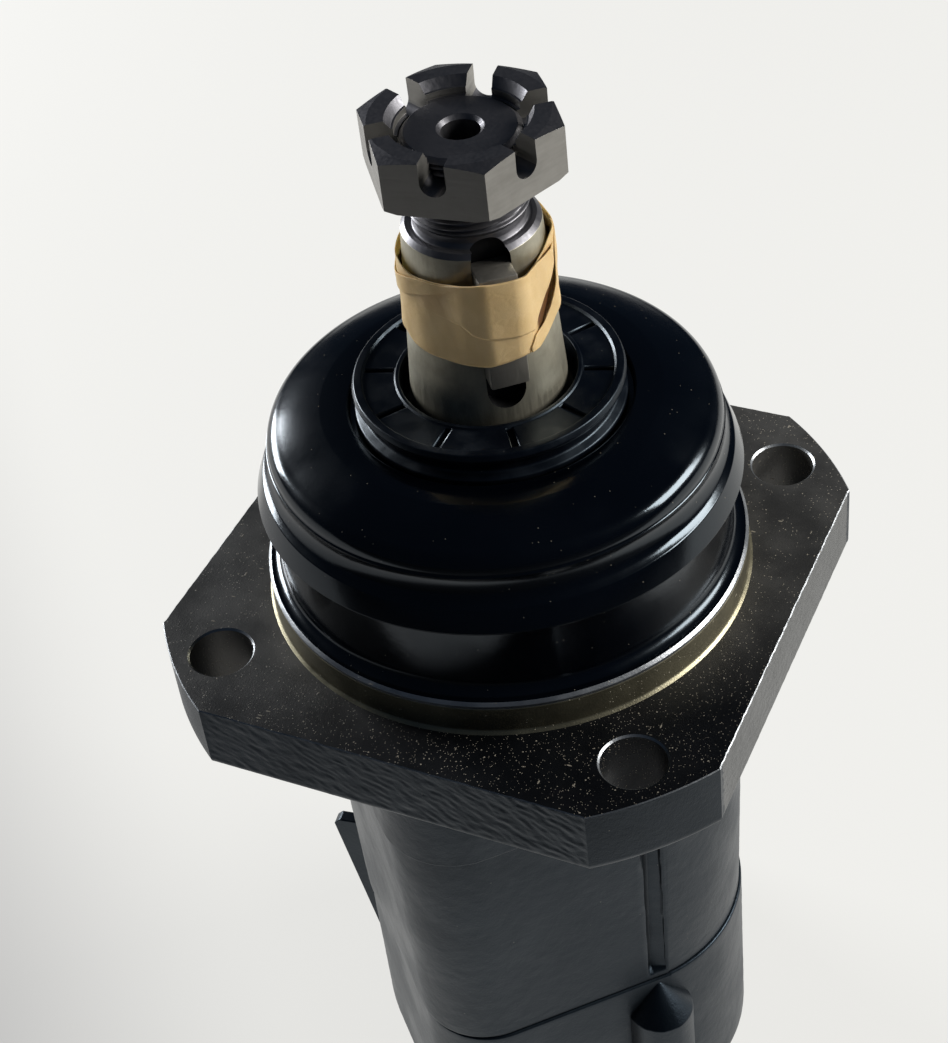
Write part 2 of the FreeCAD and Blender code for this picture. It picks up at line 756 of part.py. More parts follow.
def spline_bore(z_low, z_high):
    """Cutter for an internal spline with play around the link's teeth."""
    wider = math.degrees(SPLINE_PLAY / 2.0 / (SPLINE_MAJOR_D / 2.0))
    return spline_prism(SPLINE_MAJOR_D / 2.0 + SPLINE_PLAY, SPLINE_ROOT_D / 2.0 + SPLINE_PLAY,
                        SPLINE_TIP_HALF + wider, SPLINE_ROOT_HALF + wider, z_low, z_high)


def spline_head(z_mid):
    """Crowned external spline of the drive link."""
    half = SPLINE_L / 2.0
    tip = SPLINE_MAJOR_D / 2.0
    teeth = spline_prism(tip, SPLINE_ROOT_D / 2.0, SPLINE_TIP_HALF, SPLINE_ROOT_HALF,
                         z_mid - half, z_mid + half)
    barrel = revolve((0, z_mid - half), (tip - SPLINE_CROWN, z_mid - half),
                     (tip, z_mid, tip - SPLINE_CROWN, z_mid + half), (0, z_mid + half))
    return teeth.common(barrel)


def output_shaft():
    """Tapered, keyed and threaded shaft with a splined bore and slots for the valve's tongues."""
    journal = SEAL_JOURNAL_D / 2.0
    thread = THREAD_D / 2.0
    small = TAPER_SMALL_D / 2.0
    under = UNDERCUT_D / 2.0
    solid = revolve(
        (0, shaft_low), (REAR_BORE_D / 2.0, shaft_low), (REAR_BORE_D / 2.0, rear_cone_back),
        (SHAFT_COLLAR_D / 2.0, rear_cone_back), (SHAFT_COLLAR_D / 2.0, front_cone_back),
        (FRONT_BORE_D / 2.0, front_cone_back), (FRONT_BORE_D / 2.0, front_cup_back),
        (journal, front_cup_back + 0.7), (journal, taper_start - 0.8),
        (taper_r(taper_start), taper_start), (small, taper_end),
        (small - SHOULDER_CHAMFER, undercut_start), (under, undercut_start),
        (under, thread_start - 1.0), (thread, thread_start),
        (thread, shaft_end - THREAD_CHAMFER), (thread - THREAD_CHAMFER, shaft_end), (0, shaft_end))
    hole_r = CENTRE_HOLE_D / 2.0
    centre = revolve(
        (0, shaft_end + 0.5), (hole_r + 1.0, shaft_end + 0.5), (hole_r, shaft_end - 0.5),
        (hole_r, shaft_end - CENTRE_HOLE_L), (0, shaft_end - CENTRE_HOLE_L - hole_r))
    relief_r = SPLINE_MAJOR_D / 2.0 + SPLINE_PLAY + 0.8
    spline_low = upper_spline_z - SPLINE_L / 2.0 - 3.0
    cuts = [keyway(), centre, spline_bore(spline_low, link_top)]
    cuts.append(pin(0, 0, relief_r, shaft_low - 1.0, spline_low))
    width = TONGUE_W + 2.0 * RUN
    cuts.append(Part.makeBox(REAR_BORE_D + 2.0, width, TONGUE_H,
                             V(-REAR_BORE_D / 2.0 - 1.0, -width / 2.0, shaft_low - 1.0)))
    return solid.cut(group(cuts))


def slotted_nut():
    """Hexagon nut with six slots across its flats and a turned ring inside them."""
    low = shaft_end - NUT_SEAT
    top = low + NUT_H
    corner = NUT_ACROSS / math.sqrt(3.0)
    solid = hexagon(NUT_ACROSS, low, top, NUT_TURN)
    dress = revolve((0, low), (corner - 0.8, low), (corner + 0.2, low + 0.8),
                    (corner + 0.2, top - NUT_CHAMFER_H), (NUT_ACROSS / 2.0 - 0.4, top), (0, top))
    solid = solid.common(dress)
    cuts = [pin(0, 0, THREAD_D / 2.0 + RUN, low - 1.0, top + 1.0)]
    cuts.append(Part.makeCone(THREAD_D / 2.0 - 1.0, NUT_RING_D / 2.0 + 1.2, 4.0, V(0, 0, top - 3.2)))
    for k in range(6):
        azimuth = NUT_TURN + 30.0 + 60.0 * k
        floor = top - NUT_SLOT_H + NUT_SLOT_W / 2.0
        slot = Part.makeBox(corner, NUT_SLOT_W, NUT_SLOT_H, V(0, -NUT_SLOT_W / 2.0, floor))
        end = Part.makeCylinder(NUT_SLOT_W / 2.0, corner, V(0, 0, floor), V(1, 0, 0))
        for piece in (slot, end):
            piece.rotate(V(0, 0, 0), V(0, 0, 1), azimuth)
            cuts.append(piece)
    return solid.cut(group(cuts))


def tape_wire(z, grow):
    """Outline of the tape: round the taper and over the key's two outer edges."""
    radius = taper_r(z) + grow
    half = KEY_W / 2.0 + grow * 0.6
    reach = taper_r(z) + KEY_W / 2.0 + grow
    corner = math.hypot(reach, half)
    away = math.degrees(math.atan2(half, reach))
    touch = away + math.degrees(math.acos(radius / corner))
    points = [unit(KEY_AZIMUTH + a, r, z) for a, r in
              ((touch, radius), (180.0, radius), (-touch, radius), (-away, corner), (away, corner))]
    edges = [Part.Arc(points[0], points[1], points[2]).toShape(),
             Part.makeLine(points[2], points[3]),
             Part.makeLine(points[3], points[4]),
             Part.makeLine(points[4], points[0])]
    return Part.Wire(edges)


def masking_tape():
    """Paper tape wound round the taper to hold the key."""
    low = taper_start + TAPE_START
    high = low + TAPE_W
    outer = loft(tape_wire(low, FREE + TAPE_T), tape_wire(high, FREE + TAPE_T))
    inner = loft(tape_wire(low - 0.5, FREE), tape_wire(high + 0.5, FREE))
    return outer.cut(inner)


def valve_sleeve():
    """Fixed sleeve round the valve: port galleries, seven windows and their drillings."""
    outer = SLEEVE_D / 2.0
    solid = ring(SPOOL_D / 2.0, outer, body_low, sleeve_top)
    circle_r = (SPOOL_D / 2.0 + outer) / 2.0
    cuts = []
    for offset, z in port_lines:
        cuts.append(drill(PORT_AZIMUTH, offset, z, PORT_GALLERY_D / 2.0, outer + 1.0, 10.0))
    for k in range(ROLLER_COUNT):
        azimuth = 360.0 / ROLLER_COUNT * (k + 0.5)
        cuts.append(drill(azimuth, 0, window_z, WINDOW_D / 2.0, circle_r, 20.0))
        cuts.append(pin_at(azimuth, circle_r, FEED_D / 2.0, body_low - 1.0, window_z + FEED_TOP_GAP))
    return solid.cut(group(cuts))


def valve_spool():
    """Rotary valve: two ring grooves, each feeding every other one of twelve slots."""
    outer = SPOOL_D / 2.0 - RUN
    bore = SPOOL_BORE_D / 2.0
    floor = outer - SPOOL_GROOVE_DEPTH
    solid = ring(bore, outer, body_low + FREE, spool_top)
    tongue_top = shaft_low - 1.0 + TONGUE_H - FREE
    tongues = Part.makeBox(REAR_BORE_D, TONGUE_W, tongue_top - spool_top + 1.0,
                           V(-REAR_BORE_D / 2.0, -TONGUE_W / 2.0, spool_top - 1.0))
    tongues = tongues.common(ring(bore, REAR_BORE_D / 2.0, spool_top - 2.0, tongue_top + 1.0))
    solid = solid.fuse(tongues)
    cuts = []
    for z in (port_a_z, port_b_z):
        cuts.append(ring(floor, outer + 1.0, z - SPOOL_GROOVE_W / 2.0, z + SPOOL_GROOVE_W / 2.0))
    count = 2 * (ROLLER_COUNT - 1)
    reach = 3.0
    for k in range(count):
        low, high = (window_z - reach, port_a_z) if k % 2 else (port_b_z, window_z + reach)
        slot = Part.makeBox(SPOOL_GROOVE_DEPTH + 1.0, SPOOL_SLOT_W, high - low,
                            V(floor, -SPOOL_SLOT_W / 2.0, low))
        slot.rotate(V(0, 0, 0), V(0, 0, 1), 360.0 / count * k)
        cuts.append(slot)
    return solid.cut(group(cuts))


def drive_link():
    """Dog-bone link with two crowned splines, tilted to reach the rotor's centre."""
    half = SPLINE_L / 2.0
    neck = pin(0, 0, LINK_D / 2.0, lower_spline_z, upper_spline_z)
    link = fuse([spline_head(lower_spline_z), neck, spline_head(upper_spline_z)])
    end = lower_spline_z - half
    link = link.cut(pin(0, 0, LINK_HOLE_D / 2.0, end - 1.0, end + LINK_HOLE_L))
    tilt = math.degrees(math.atan(ECCENTRICITY / (upper_spline_z - lower_spline_z)))
    link.rotate(V(0, 0, upper_spline_z), V(0, 1, 0), -tilt)
    return link


def distributor_plate():
    """Plate with seven feed holes, each milled in towards its chamber."""
    outer = CAVITY_D / 2.0 - FREE
    solid = ring(DISTRIBUTOR_BORE_D / 2.0, outer, distributor_low, body_low)
    feed_r = (SPOOL_D + SLEEVE_D) / 4.0
    cuts = []
    for k in range(ROLLER_COUNT):
        azimuth = 360.0 / ROLLER_COUNT * (k + 0.5)
        cuts.append(pin_at(azimuth, feed_r, FEED_D / 2.0, distributor_low - 1.0, body_low + 1.0))
        slot = Part.makeBox(feed_r - FEED_SLOT_R, WINDOW_D, FEED_SLOT_H + 1.0,
                            V(FEED_SLOT_R, -WINDOW_D / 2.0, distributor_low - 1.0))
        slot.rotate(V(0, 0, 0), V(0, 0, 1), azimuth)
        cuts.append(slot)
    return solid.cut(group(cuts))


def geroler_ring():
    """Fixed ring with seven pockets for the rollers."""
    outer = CAVITY_D / 2.0 - FREE
    inner = ROLLER_CIRCLE_R + 2.0 * ECCENTRICITY - ROLLER_R + 1.0
    solid = ring(inner, outer, geroler_low, distributor_low)
    cuts = [pin_at(360.0 / ROLLER_COUNT * k, ROLLER_CIRCLE_R, ROLLER_R + RUN,
                   geroler_low - 1.0, distributor_low + 1.0) for k in range(ROLLER_COUNT)]
    return solid.cut(group(cuts))


def geroler_roller(k):
    """One roller of the geroler set."""
    return pin_at(360.0 / ROLLER_COUNT * k, ROLLER_CIRCLE_R, ROLLER_R,
                  geroler_low + FACE_GAP, distributor_low - FACE_GAP)


def rotor_point(t, z):
    """Point of the rotor's outline: the path of a roller's centre, set in by the roller's radius."""
    lobes = ROLLER_COUNT - 1
    fast = (lobes + 1) * t
    x = ROLLER_CIRCLE_R * math.cos(t) - ECCENTRICITY * math.cos(fast)
    y = ROLLER_CIRCLE_R * math.sin(t) - ECCENTRICITY * math.sin(fast)
    dx = -ROLLER_CIRCLE_R * math.sin(t) + ECCENTRICITY * (lobes + 1) * math.sin(fast)
    dy = ROLLER_CIRCLE_R * math.cos(t) - ECCENTRICITY * (lobes + 1) * math.cos(fast)
    size = math.hypot(dx, dy)
    inset = ROLLER_R + RUN
    return V(x - inset * dy / size, y + inset * dx / size, z)


def rotor():
    """Six-lobed rotor on the eccentric centre, with a splined bore."""
    low = geroler_low + FACE_GAP
    high = distributor_low - FACE_GAP
    count = 16 * (ROLLER_COUNT - 1)
    points = [rotor_point(2.0 * math.pi * k / count, low) for k in range(count)]
    curve = Part.BSplineCurve()
    curve.interpolate(Points=points, PeriodicFlag=True)
    solid = Part.Face(Part.Wire(curve.toShape())).extrude(V(0, 0, high - low))
    solid = solid.cut(spline_bore(low - 1.0, high + 1.0))
    solid.translate(V(ECCENTRICITY, 0, 0))
    return solid


def drive_spacer():
    """Loose round thrust disc in the rotor's bore, under the drive link."""
    low = geroler_low + FACE_GAP
    return pin(ECCENTRICITY, 0, SPACER_D / 2.0, low, low + SPACER_T)


def end_plate():
    """Wear plate between the geroler set and the floor of the rear housing."""
    solid = pin(0, 0, CAVITY_D / 2.0 - FREE, cavity_floor, geroler_low)
    return solid.cut(pin(0, 0, END_PLATE_HOLE_D / 2.0, cavity_floor - 1.0, geroler_low + 1.0))


def housing_screws():
    """Four long socket screws that clamp the rear housing to the bearing housing."""
    head_low = screw_seat - SCREW_HEAD_H
    screws = []
    for azimuth in screw_azimuths():
        spot = unit(azimuth, SCREW_CIRCLE_D / 2.0)
        shank = pin(0, 0, SCREW_D / 2.0, screw_seat, body_low + SCREW_GRIP)
        head = pin(0, 0, SCREW_HEAD_D / 2.0, head_low, screw_seat)
        screw = fuse([shank, head]).cut(hexagon(SCREW_SOCKET_AF, head_low - 1.0, head_low + SCREW_SOCKET_L))
        screw.translate(V(spot.x, spot.y, 0))
        screws.append(screw)
    return group(screws)


def dowel_pins():
    """Two dowels that line up the housings."""
    half = DOWEL_L / 2.0
    return group([pin_at(180.0 * k, DOWEL_CIRCLE_D / 2.0, DOWEL_D / 2.0,
                         body_low - half, body_low + half) for k in range(2)])


def joint_seal_ring():
    """Round-section rubber ring in the joint between the housings."""
    return Part.makeTorus(RING_CIRCLE_D / 2.0, RING_SECTION_D / 2.0, V(0, 0, body_low + RING_SECTION_D / 2.0))


def gallery_plug():
    """Socket plug that closes the drilling in the boss."""
    spot = on_face(FACE_AZIMUTH, BODY_HALF_FRONT, GROOVE_OFFSET, 0)
    low = base_z + 1.0
    plug = pin(0, 0, PLUG_D / 2.0, low, low + PLUG_L)
    plug = plug.cut(hexagon(PLUG_SOCKET_AF, low - 1.0, low + PLUG_SOCKET_L))
    plug.translate(V(spot.x, spot.y, 0))
    return plug


def main():
    """Makes every sub-part and writes it to its own file."""
    os.makedirs("parts", exist_ok=True)
    save("bearing_housing", bearing_housing())
    save("rear_housing", rear_housing())
    save("output_shaft", output_shaft())
    save("shaft_key", shaft_key())
    save("slotted_nut", slotted_nut())
    save("masking_tape", masking_tape())
    save("dust_seal", dust_seal())
    save("shaft_seal", shaft_seal())
    front = TaperedBearing(FRONT_BORE_D, FRONT_CUP_D, front_cone_back, True)
    rear = TaperedBearing(REAR_BORE_D, REAR_CUP_D, rear_cone_back, False)
    for name, bearing in (("front_bearing", front), ("rear_bearing", rear)):
        save(name + "_cup", bearing.cup())
        save(name + "_cone", bearing.cone())
        save(name + "_rollers", bearing.rollers())
        save(name + "_cage", bearing.cage())
    save("bearing_lock_ring", bearing_lock_ring())
    save("valve_sleeve", valve_sleeve())
    save("valve_spool", valve_spool())
    save("drive_link", drive_link())
    save("distributor_plate", distributor_plate())
    save("geroler_ring", geroler_ring())
    for k in range(ROLLER_COUNT):
        save("geroler_roller_%d" % (k + 1), geroler_roller(k))
    save("rotor", rotor())
    save("drive_spacer", drive_spacer())
    save("end_plate", end_plate())
    save("housing_screws", housing_screws())
    save("dowel_pins", dowel_pins())
    save("joint_seal_ring", joint_seal_ring())
    save("gallery_plug", gallery_plug())


main()
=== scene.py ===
import logging
import math
from dataclasses import dataclass
from enum import Enum
from typing import Callable, Sequence

import bmesh
import bpy
from bmesh.types import BMEdge, BMVert
from mathutils import Matrix, Vector, noise


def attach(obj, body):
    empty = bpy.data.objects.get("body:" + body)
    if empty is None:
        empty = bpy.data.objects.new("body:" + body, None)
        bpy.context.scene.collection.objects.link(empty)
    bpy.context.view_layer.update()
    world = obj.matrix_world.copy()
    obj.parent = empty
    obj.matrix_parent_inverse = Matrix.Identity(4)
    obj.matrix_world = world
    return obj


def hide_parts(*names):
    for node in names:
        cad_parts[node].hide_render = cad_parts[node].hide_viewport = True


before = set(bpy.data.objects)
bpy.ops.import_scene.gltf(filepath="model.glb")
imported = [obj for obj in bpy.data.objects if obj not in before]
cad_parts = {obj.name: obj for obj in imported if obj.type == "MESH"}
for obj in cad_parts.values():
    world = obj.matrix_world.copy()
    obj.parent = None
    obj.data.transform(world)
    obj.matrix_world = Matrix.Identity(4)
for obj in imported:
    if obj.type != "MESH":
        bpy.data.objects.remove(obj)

LOG = logging.getLogger("hydraulic_motor")
MM = 0.001
HOUSING = "bearing_housing"
REAR = "rear_housing"
CAMERA_AZIMUTH = -62.0
Point = tuple[float, ...]
Profile = tuple[Point, ...]


def turn_of(azimuth: float, radius: float = 1.0, z: float = 0.0) -> Vector:
    """Point at an azimuth in degrees, a radius and a height."""
    angle = math.radians(azimuth)
    return Vector((radius * math.cos(angle), radius * math.sin(angle), z))


def clamp(value: float, low: float = 0.0, high: float = 1.0) -> float:
    """Value kept between two limits."""
    return max(low, min(high, value))


def ease(low: float, high: float, value: float) -> float:
    """Smooth step from 0 at the low end to 1 at the high end."""
    t = clamp((value - low) / (high - low))
    return t * t * (3.0 - 2.0 * t)


def between(table: Sequence[Point], value: float) -> float:
    """Reads a table in straight lines.

    Args:
        table: Pairs of place and amount, in rising order of place.
        value: The place.

    Returns:
        The amount there.
    """
    if value <= table[0][0]:
        return table[0][1]
    for (a, low), (b, high) in zip(table, table[1:]):
        if value <= b:
            return low + (high - low) * (value - a) / (b - a)
    return table[-1][1]


def steps_between(low: float, high: float, pitch: float) -> list[float]:
    """Even steps from one value to another, both included, no wider than a pitch."""
    count = max(1, math.ceil(abs(high - low) / pitch))
    return [low + (high - low) * k / count for k in range(count + 1)]


def roll(radius: float, above: float) -> float:
    """Inset of a rounded edge.

    Args:
        radius: Radius of the edge.
        above: Height above the point where the edge starts, negative on the edge.

    Returns:
        The inset, 0 above the edge.
    """
    return radius - math.sqrt(max(0.0, radius ** 2 - above * above)) if above < 0.0 else 0.0


def quarter(start: float, radius: float, angles: Sequence[int]) -> list[float]:
    """Heights of the rows that draw a rounded edge, by angle in degrees."""
    return [start + radius * (1.0 - math.sin(math.radians(a))) for a in angles]


def arc(radius: float, level: float, angles: Sequence[int]) -> list[Point]:
    """Points of an arc about (0, level), by angle in degrees."""
    return [(radius * math.cos(math.radians(a)), level + radius * math.sin(math.radians(a))) for a in angles]


def rounded(points: Sequence[Point], facets: int = 6) -> list[Point]:
    """Rounds the corners of an open profile.

    Args:
        points: Corners as (r, z) or (r, z, fillet radius).
        facets: Straight pieces in each fillet.

    Returns:
        The profile as (r, z) points.
    """
    path = [points[0][:2]]
    for before, here, after in zip(points, points[1:], points[2:]):
        if len(here) < 3:
            path.append(here)
            continue
        corner = Vector(here[:2])
        a = (Vector(before[:2]) - corner).normalized()
        b = (Vector(after[:2]) - corner).normalized()
        half = a.angle(b) / 2.0
        centre = corner + (a + b).normalized() * here[2] / math.sin(half)
        reach = here[2] / math.tan(half)
        first = corner + a * reach - centre
        last = corner + b * reach - centre
        sweep = first.angle_signed(last)
        for k in range(facets + 1):
            spot = centre + Matrix.Rotation(-sweep * k / facets, 2) @ first
            path.append((spot.x, spot.y))
    path.append(points[-1][:2])
    return path


def bow(start: Point, middle: Point, end: Point, facets: int) -> list[Point]:
    """Points of the arc through three points, without its two ends.

    Args:
        start: First point.
        middle: A point on the way.
        end: Last point.
        facets: Straight pieces of the arc.

    Returns:
        The points between the two ends.
    """
    ax, ay = start
    bx, by = middle
    cx, cy = end
    d = 2.0 * (ax * (by - cy) + bx * (cy - ay) + cx * (ay - by))
    a, b, c = (x * x + y * y for x, y in (start, middle, end))
    centre = Vector(((a * (by - cy) + b * (cy - ay) + c * (ay - by)) / d,
                     (a * (cx - bx) + b * (ax - cx) + c * (bx - ax)) / d))
    first = Vector(start) - centre
    sweep = first.angle_signed(Vector(end) - centre)
    turned = [centre + Matrix.Rotation(-sweep * k / facets, 2) @ first for k in range(1, facets)]
    return [(spot.x, spot.y) for spot in turned]


class Wire:
    """Output of a shader node that takes part in Python expressions on values."""

    def __init__(self, bench: "Bench", socket: bpy.types.NodeSocket) -> None:
        """Keeps the socket and the node tree that it belongs to."""
        self.bench = bench
        self.socket = socket

    def maths(self, operation: str, first: "Wire | float", second: "Wire | float") -> "Wire":
        """Adds one Math node."""
        return self.bench.node("ShaderNodeMath", {"operation": operation}, {0: first, 1: second})

    def __add__(self, other: "Wire | float") -> "Wire":
        """Sum."""
        return self.maths("ADD", self, other)

    def __radd__(self, other: float) -> "Wire":
        """Sum with a number on the left."""
        return self.maths("ADD", other, self)

    def __sub__(self, other: "Wire | float") -> "Wire":
        """Difference."""
        return self.maths("SUBTRACT", self, other)

    def __rsub__(self, other: float) -> "Wire":
        """Difference with a number on the left."""
        return self.maths("SUBTRACT", other, self)

    def __mul__(self, other: "Wire | float") -> "Wire":
        """Product."""
        return self.maths("MULTIPLY", self, other)

    def __rmul__(self, other: float) -> "Wire":
        """Product with a number on the left."""
        return self.maths("MULTIPLY", other, self)


class Bench:
    """Node tree of one finish, with its Principled shader."""

    def __init__(self, name: str, **constants: object) -> None:
        """Starts a material.

        Args:
            name: The material's name.
            constants: Values set directly on the shader, spaces in names written as underscores.
        """
        self.material = bpy.data.materials.new(name)
        self.material.use_nodes = True
        self.tree = self.material.node_tree
        self.shader = self.tree.nodes["Principled BSDF"]
        for key, value in constants.items():
            self.shader.inputs[key.replace("_", " ")].default_value = value

    def node(self, kind: str, settings: dict, inputs: dict, output: int | str = 0) -> Wire:
        """Adds any node.

        Args:
            kind: The node's type.
            settings: Its properties, and "stops" for a ramp.
            inputs: Values or wires for its sockets.
            output: Which output to return.

        Returns:
            The chosen output.
        """
        made = self.tree.nodes.new(kind)
        for key, value in settings.items():
            if key == "stops":
                self.set_stops(made, value)
            else:
                setattr(made, key, value)
        for key, value in inputs.items():
            if isinstance(value, Wire):
                self.tree.links.new(value.socket, made.inputs[key])
            else:
                made.inputs[key].default_value = value
        return Wire(self, made.outputs[output])

    def set_stops(self, ramp: bpy.types.Node, stops: Sequence[tuple[float, Point]]) -> None:
        """Sets the stops of a colour ramp.

        Args:
            ramp: The ramp's node.
            stops: Places and colours.
        """
        elements = ramp.color_ramp.elements
        while len(elements) < len(stops):
            elements.new(1.0)
        for element, (place, colour) in zip(elements, stops):
            element.position = place
            element.color = (*colour, 1.0)

    def feed(self, **wires: Wire) -> "Bench":
        """Links wires to the shader's sockets.

        Args:
            wires: Wires by the socket's name, spaces written as underscores.

        Returns:
            The bench itself.
        """
        for key, wire in wires.items():
            self.tree.links.new(wire.socket, self.shader.inputs[key.replace("_", " ")])
        return self

    def place(self, stretch: Point = (1.0, 1.0, 1.0), turn: Point = (0.0, 0.0, 0.0)) -> Wire:
        """Object coordinates in metres, scaled and turned."""
        coords = self.node("ShaderNodeTexCoord", {}, {}, "Object")
        return self.node("ShaderNodeMapping", {}, {"Vector": coords, "Scale": stretch, "Rotation": turn})

    def toward(self, azimuth: float) -> Wire:
        """Distance from the axis towards an azimuth, in metres."""
        turned = self.place(turn=(0.0, 0.0, math.radians(-azimuth)))
        return self.node("ShaderNodeSeparateXYZ", {}, {0: turned})

    def grain(self, size: float, detail: float = 2.0, where: Wire | None = None, rough: float = 0.5) -> Wire:
        """Noise from 0 to 1 with features of a size in millimetres."""
        return self.node("ShaderNodeTexNoise", {}, {"Vector": where or self.place(), "Scale": 1.0 / (size * MM),
                                                    "Detail": detail, "Roughness": rough})

    def ramp(self, value: Wire, low: float, high: float, start: float = 0.0, end: float = 1.0) -> Wire:
        """Smooth change from one value to another over a range."""
        return self.node("ShaderNodeMapRange", {"interpolation_type": "SMOOTHSTEP"},
                         {"Value": value, "From Min": low, "From Max": high, "To Min": start, "To Max": end})

    def blend(self, share: Wire, first: "Wire | Point", second: "Wire | Point") -> Wire:
        """Mixes two colours.

        Args:
            share: Share of the second colour.
            first: First colour or wire.
            second: Second colour or wire.

        Returns:
            The mixed colour.
        """
        inputs = {0: share}
        for key, colour in ((6, first), (7, second)):
            inputs[key] = colour if isinstance(colour, Wire) else (*colour, 1.0)
        return self.node("ShaderNodeMix", {"data_type": "RGBA"}, inputs, 2)

    def bump(self, height: Wire, depth: float, strength: float = 1.0, under: Wire | None = None) -> Wire:
        """Bump of a depth in millimetres.

        Args:
            height: The pattern.
            depth: Its depth.
            strength: Its strength.
            under: Another bump below it.

        Returns:
            The normal.
        """
        inputs = {"Height": height, "Distance": depth * MM, "Strength": strength}
        if under:
            inputs["Normal"] = under
        return self.node("ShaderNodeBump", {}, inputs)

    def specks(self, pitch: float, size: float, share: float, stretch: Point = (1.0, 1.0, 1.0),
               turn: Point = (0.0, 0.0, 0.0)) -> Wire:
        """Mask of scattered specks: 1 on a speck.

        Args:
            pitch: Spacing of the cells in millimetres.
            size: Radius of a speck as a share of a cell.
            share: Share of the cells that hold one.
            stretch: Scale of the coordinates, for fibres.
            turn: Turn of the coordinates.

        Returns:
            The mask.
        """
        inputs = {"Vector": self.place(stretch, turn), "Scale": 1.0 / (pitch * MM)}
        cell = self.node("ShaderNodeTexVoronoi", {}, inputs, "Distance")
        near = self.ramp(cell, size, size * 0.6)
        chosen = self.node("ShaderNodeSeparateColor", {}, {0: Wire(self, cell.socket.node.outputs["Color"])})
        return near * self.ramp(chosen, share, share - 0.02)


@dataclass(frozen=True)
class Paint:
    """Black paint over a machined or cast surface."""

    name: str
    colour: Point
    rough: float
    peel: float
    peel_depth: float
    grain_size: float
    grain_depth: float
    dust: float
    tint: Point = (0.74, 0.88, 1.0, 1.0)
    shine: float = 0.5

    def material(self) -> bpy.types.Material:
        """Builds the paint.

        Returns:
            The material.
        """
        bench = Bench(self.name, Specular_Tint=self.tint, Specular_IOR_Level=self.shine)
        cloud = bench.grain(22.0, 3.0)
        fine = bench.grain(self.grain_size, 4.0)
        base = bench.blend(cloud, self.colour, tuple(1.7 * c for c in self.colour))
        dust = bench.specks(1.3, 0.14, 0.05 * self.dust)
        lint = bench.specks(6.0, 0.05, 0.12 * self.dust, (1.0, 0.25, 1.0), (0.4, 0.2, 0.9))
        base = bench.blend((dust + lint) * 0.6, base, (0.30, 0.27, 0.21))
        rough = bench.ramp(cloud, 0.3, 0.7, self.rough - 0.05, self.rough + 0.06) + fine * 0.04
        peel = bench.bump(bench.grain(self.peel, 1.0), self.peel_depth)
        return bench.feed(Base_Color=base, Roughness=rough,
                          Normal=bench.bump(fine, self.grain_depth, 1.0, peel)).material


@dataclass(frozen=True)
class MachinedIron:
    """Machined cast iron with stains, dust and, on the flange, a painted shadow of the nose at the front."""

    name: str
    colour: Point
    metal: float
    rough: float
    dust: float
    painted_front_shadow: float = 0.0

    def material(self) -> bpy.types.Material:
        """Builds the bare iron.

        Returns:
            The material.
        """
        bench = Bench(self.name)
        cloud = bench.grain(16.0, 4.0, rough=0.6)
        fine = bench.grain(0.5, 3.0)
        base = bench.blend(bench.ramp(cloud, 0.3, 0.75), self.colour, tuple(1.6 * c for c in self.colour))
        base = bench.blend(fine * 0.35, base, tuple(2.2 * c for c in self.colour))
        gather = bench.ramp(bench.grain(16.0, 2.0), 0.32, 0.52)
        dust = bench.specks(0.75, 0.23, 0.42 * self.dust) * gather
        if self.painted_front_shadow:
            # Painted shadow: the flange face darkens to bluish black towards the camera, where the nose shades it.
            # The extra dust at the front is real.
            along = bench.toward(CAMERA_AZIMUTH)
            base = bench.blend(bench.ramp(along, 0.025, 0.068) * self.painted_front_shadow, base, (0.0015, 0.0028, 0.0055))
            dust = dust + bench.specks(0.6, 0.22, 0.34) * bench.ramp(along, 0.020, 0.070)
        motes = bench.specks(2.0, 0.13, 0.45 * self.dust)
        fibre = bench.specks(3.0, 0.08, 0.45 * self.dust, (1.0, 0.3, 1.0), (0.0, 0.0, 0.7))
        other = bench.specks(3.6, 0.07, 0.45 * self.dust, (0.3, 1.0, 1.0), (0.0, 0.0, 0.4))
        litter = bench.node("ShaderNodeMath", {"operation": "ADD", "use_clamp": True},
                            {0: dust + motes, 1: fibre + other})
        base = bench.blend(litter * 0.75, base, (0.36, 0.32, 0.25))
        rough = bench.ramp(cloud, 0.3, 0.7, self.rough - 0.06, self.rough + 0.08) + litter * 0.3
        return bench.feed(Base_Color=base, Roughness=rough, Metallic=self.metal * (1.0 - litter),
                          Normal=bench.bump(fine + litter, 0.05)).material


@dataclass(frozen=True)
class Steel:
    """Ground or turned steel with streaks along one axis."""

    name: str
    colour: Point
    dark: Point
    rough: float
    streak: Point
    stain: float = 0.5

    def material(self) -> bpy.types.Material:
        """Builds the steel.

        Returns:
            The material.
        """
        bench = Bench(self.name)
        streak = bench.grain(0.8, 3.0, bench.place(self.streak))
        cloud = bench.grain(7.0, 4.0, rough=0.62)
        base = bench.blend(bench.ramp(cloud, 0.45 - 0.2 * self.stain, 0.8), self.colour, self.dark)
        base = bench.blend(streak * 0.4, base, tuple(0.7 * c for c in self.colour))
        rough = bench.ramp(streak, 0.3, 0.7, self.rough - 0.04, self.rough + 0.07) + cloud * 0.08
        return bench.feed(Base_Color=base, Roughness=rough, Metallic=1.0 - 0.25 * cloud,
                          Normal=bench.bump(streak, 0.02)).material


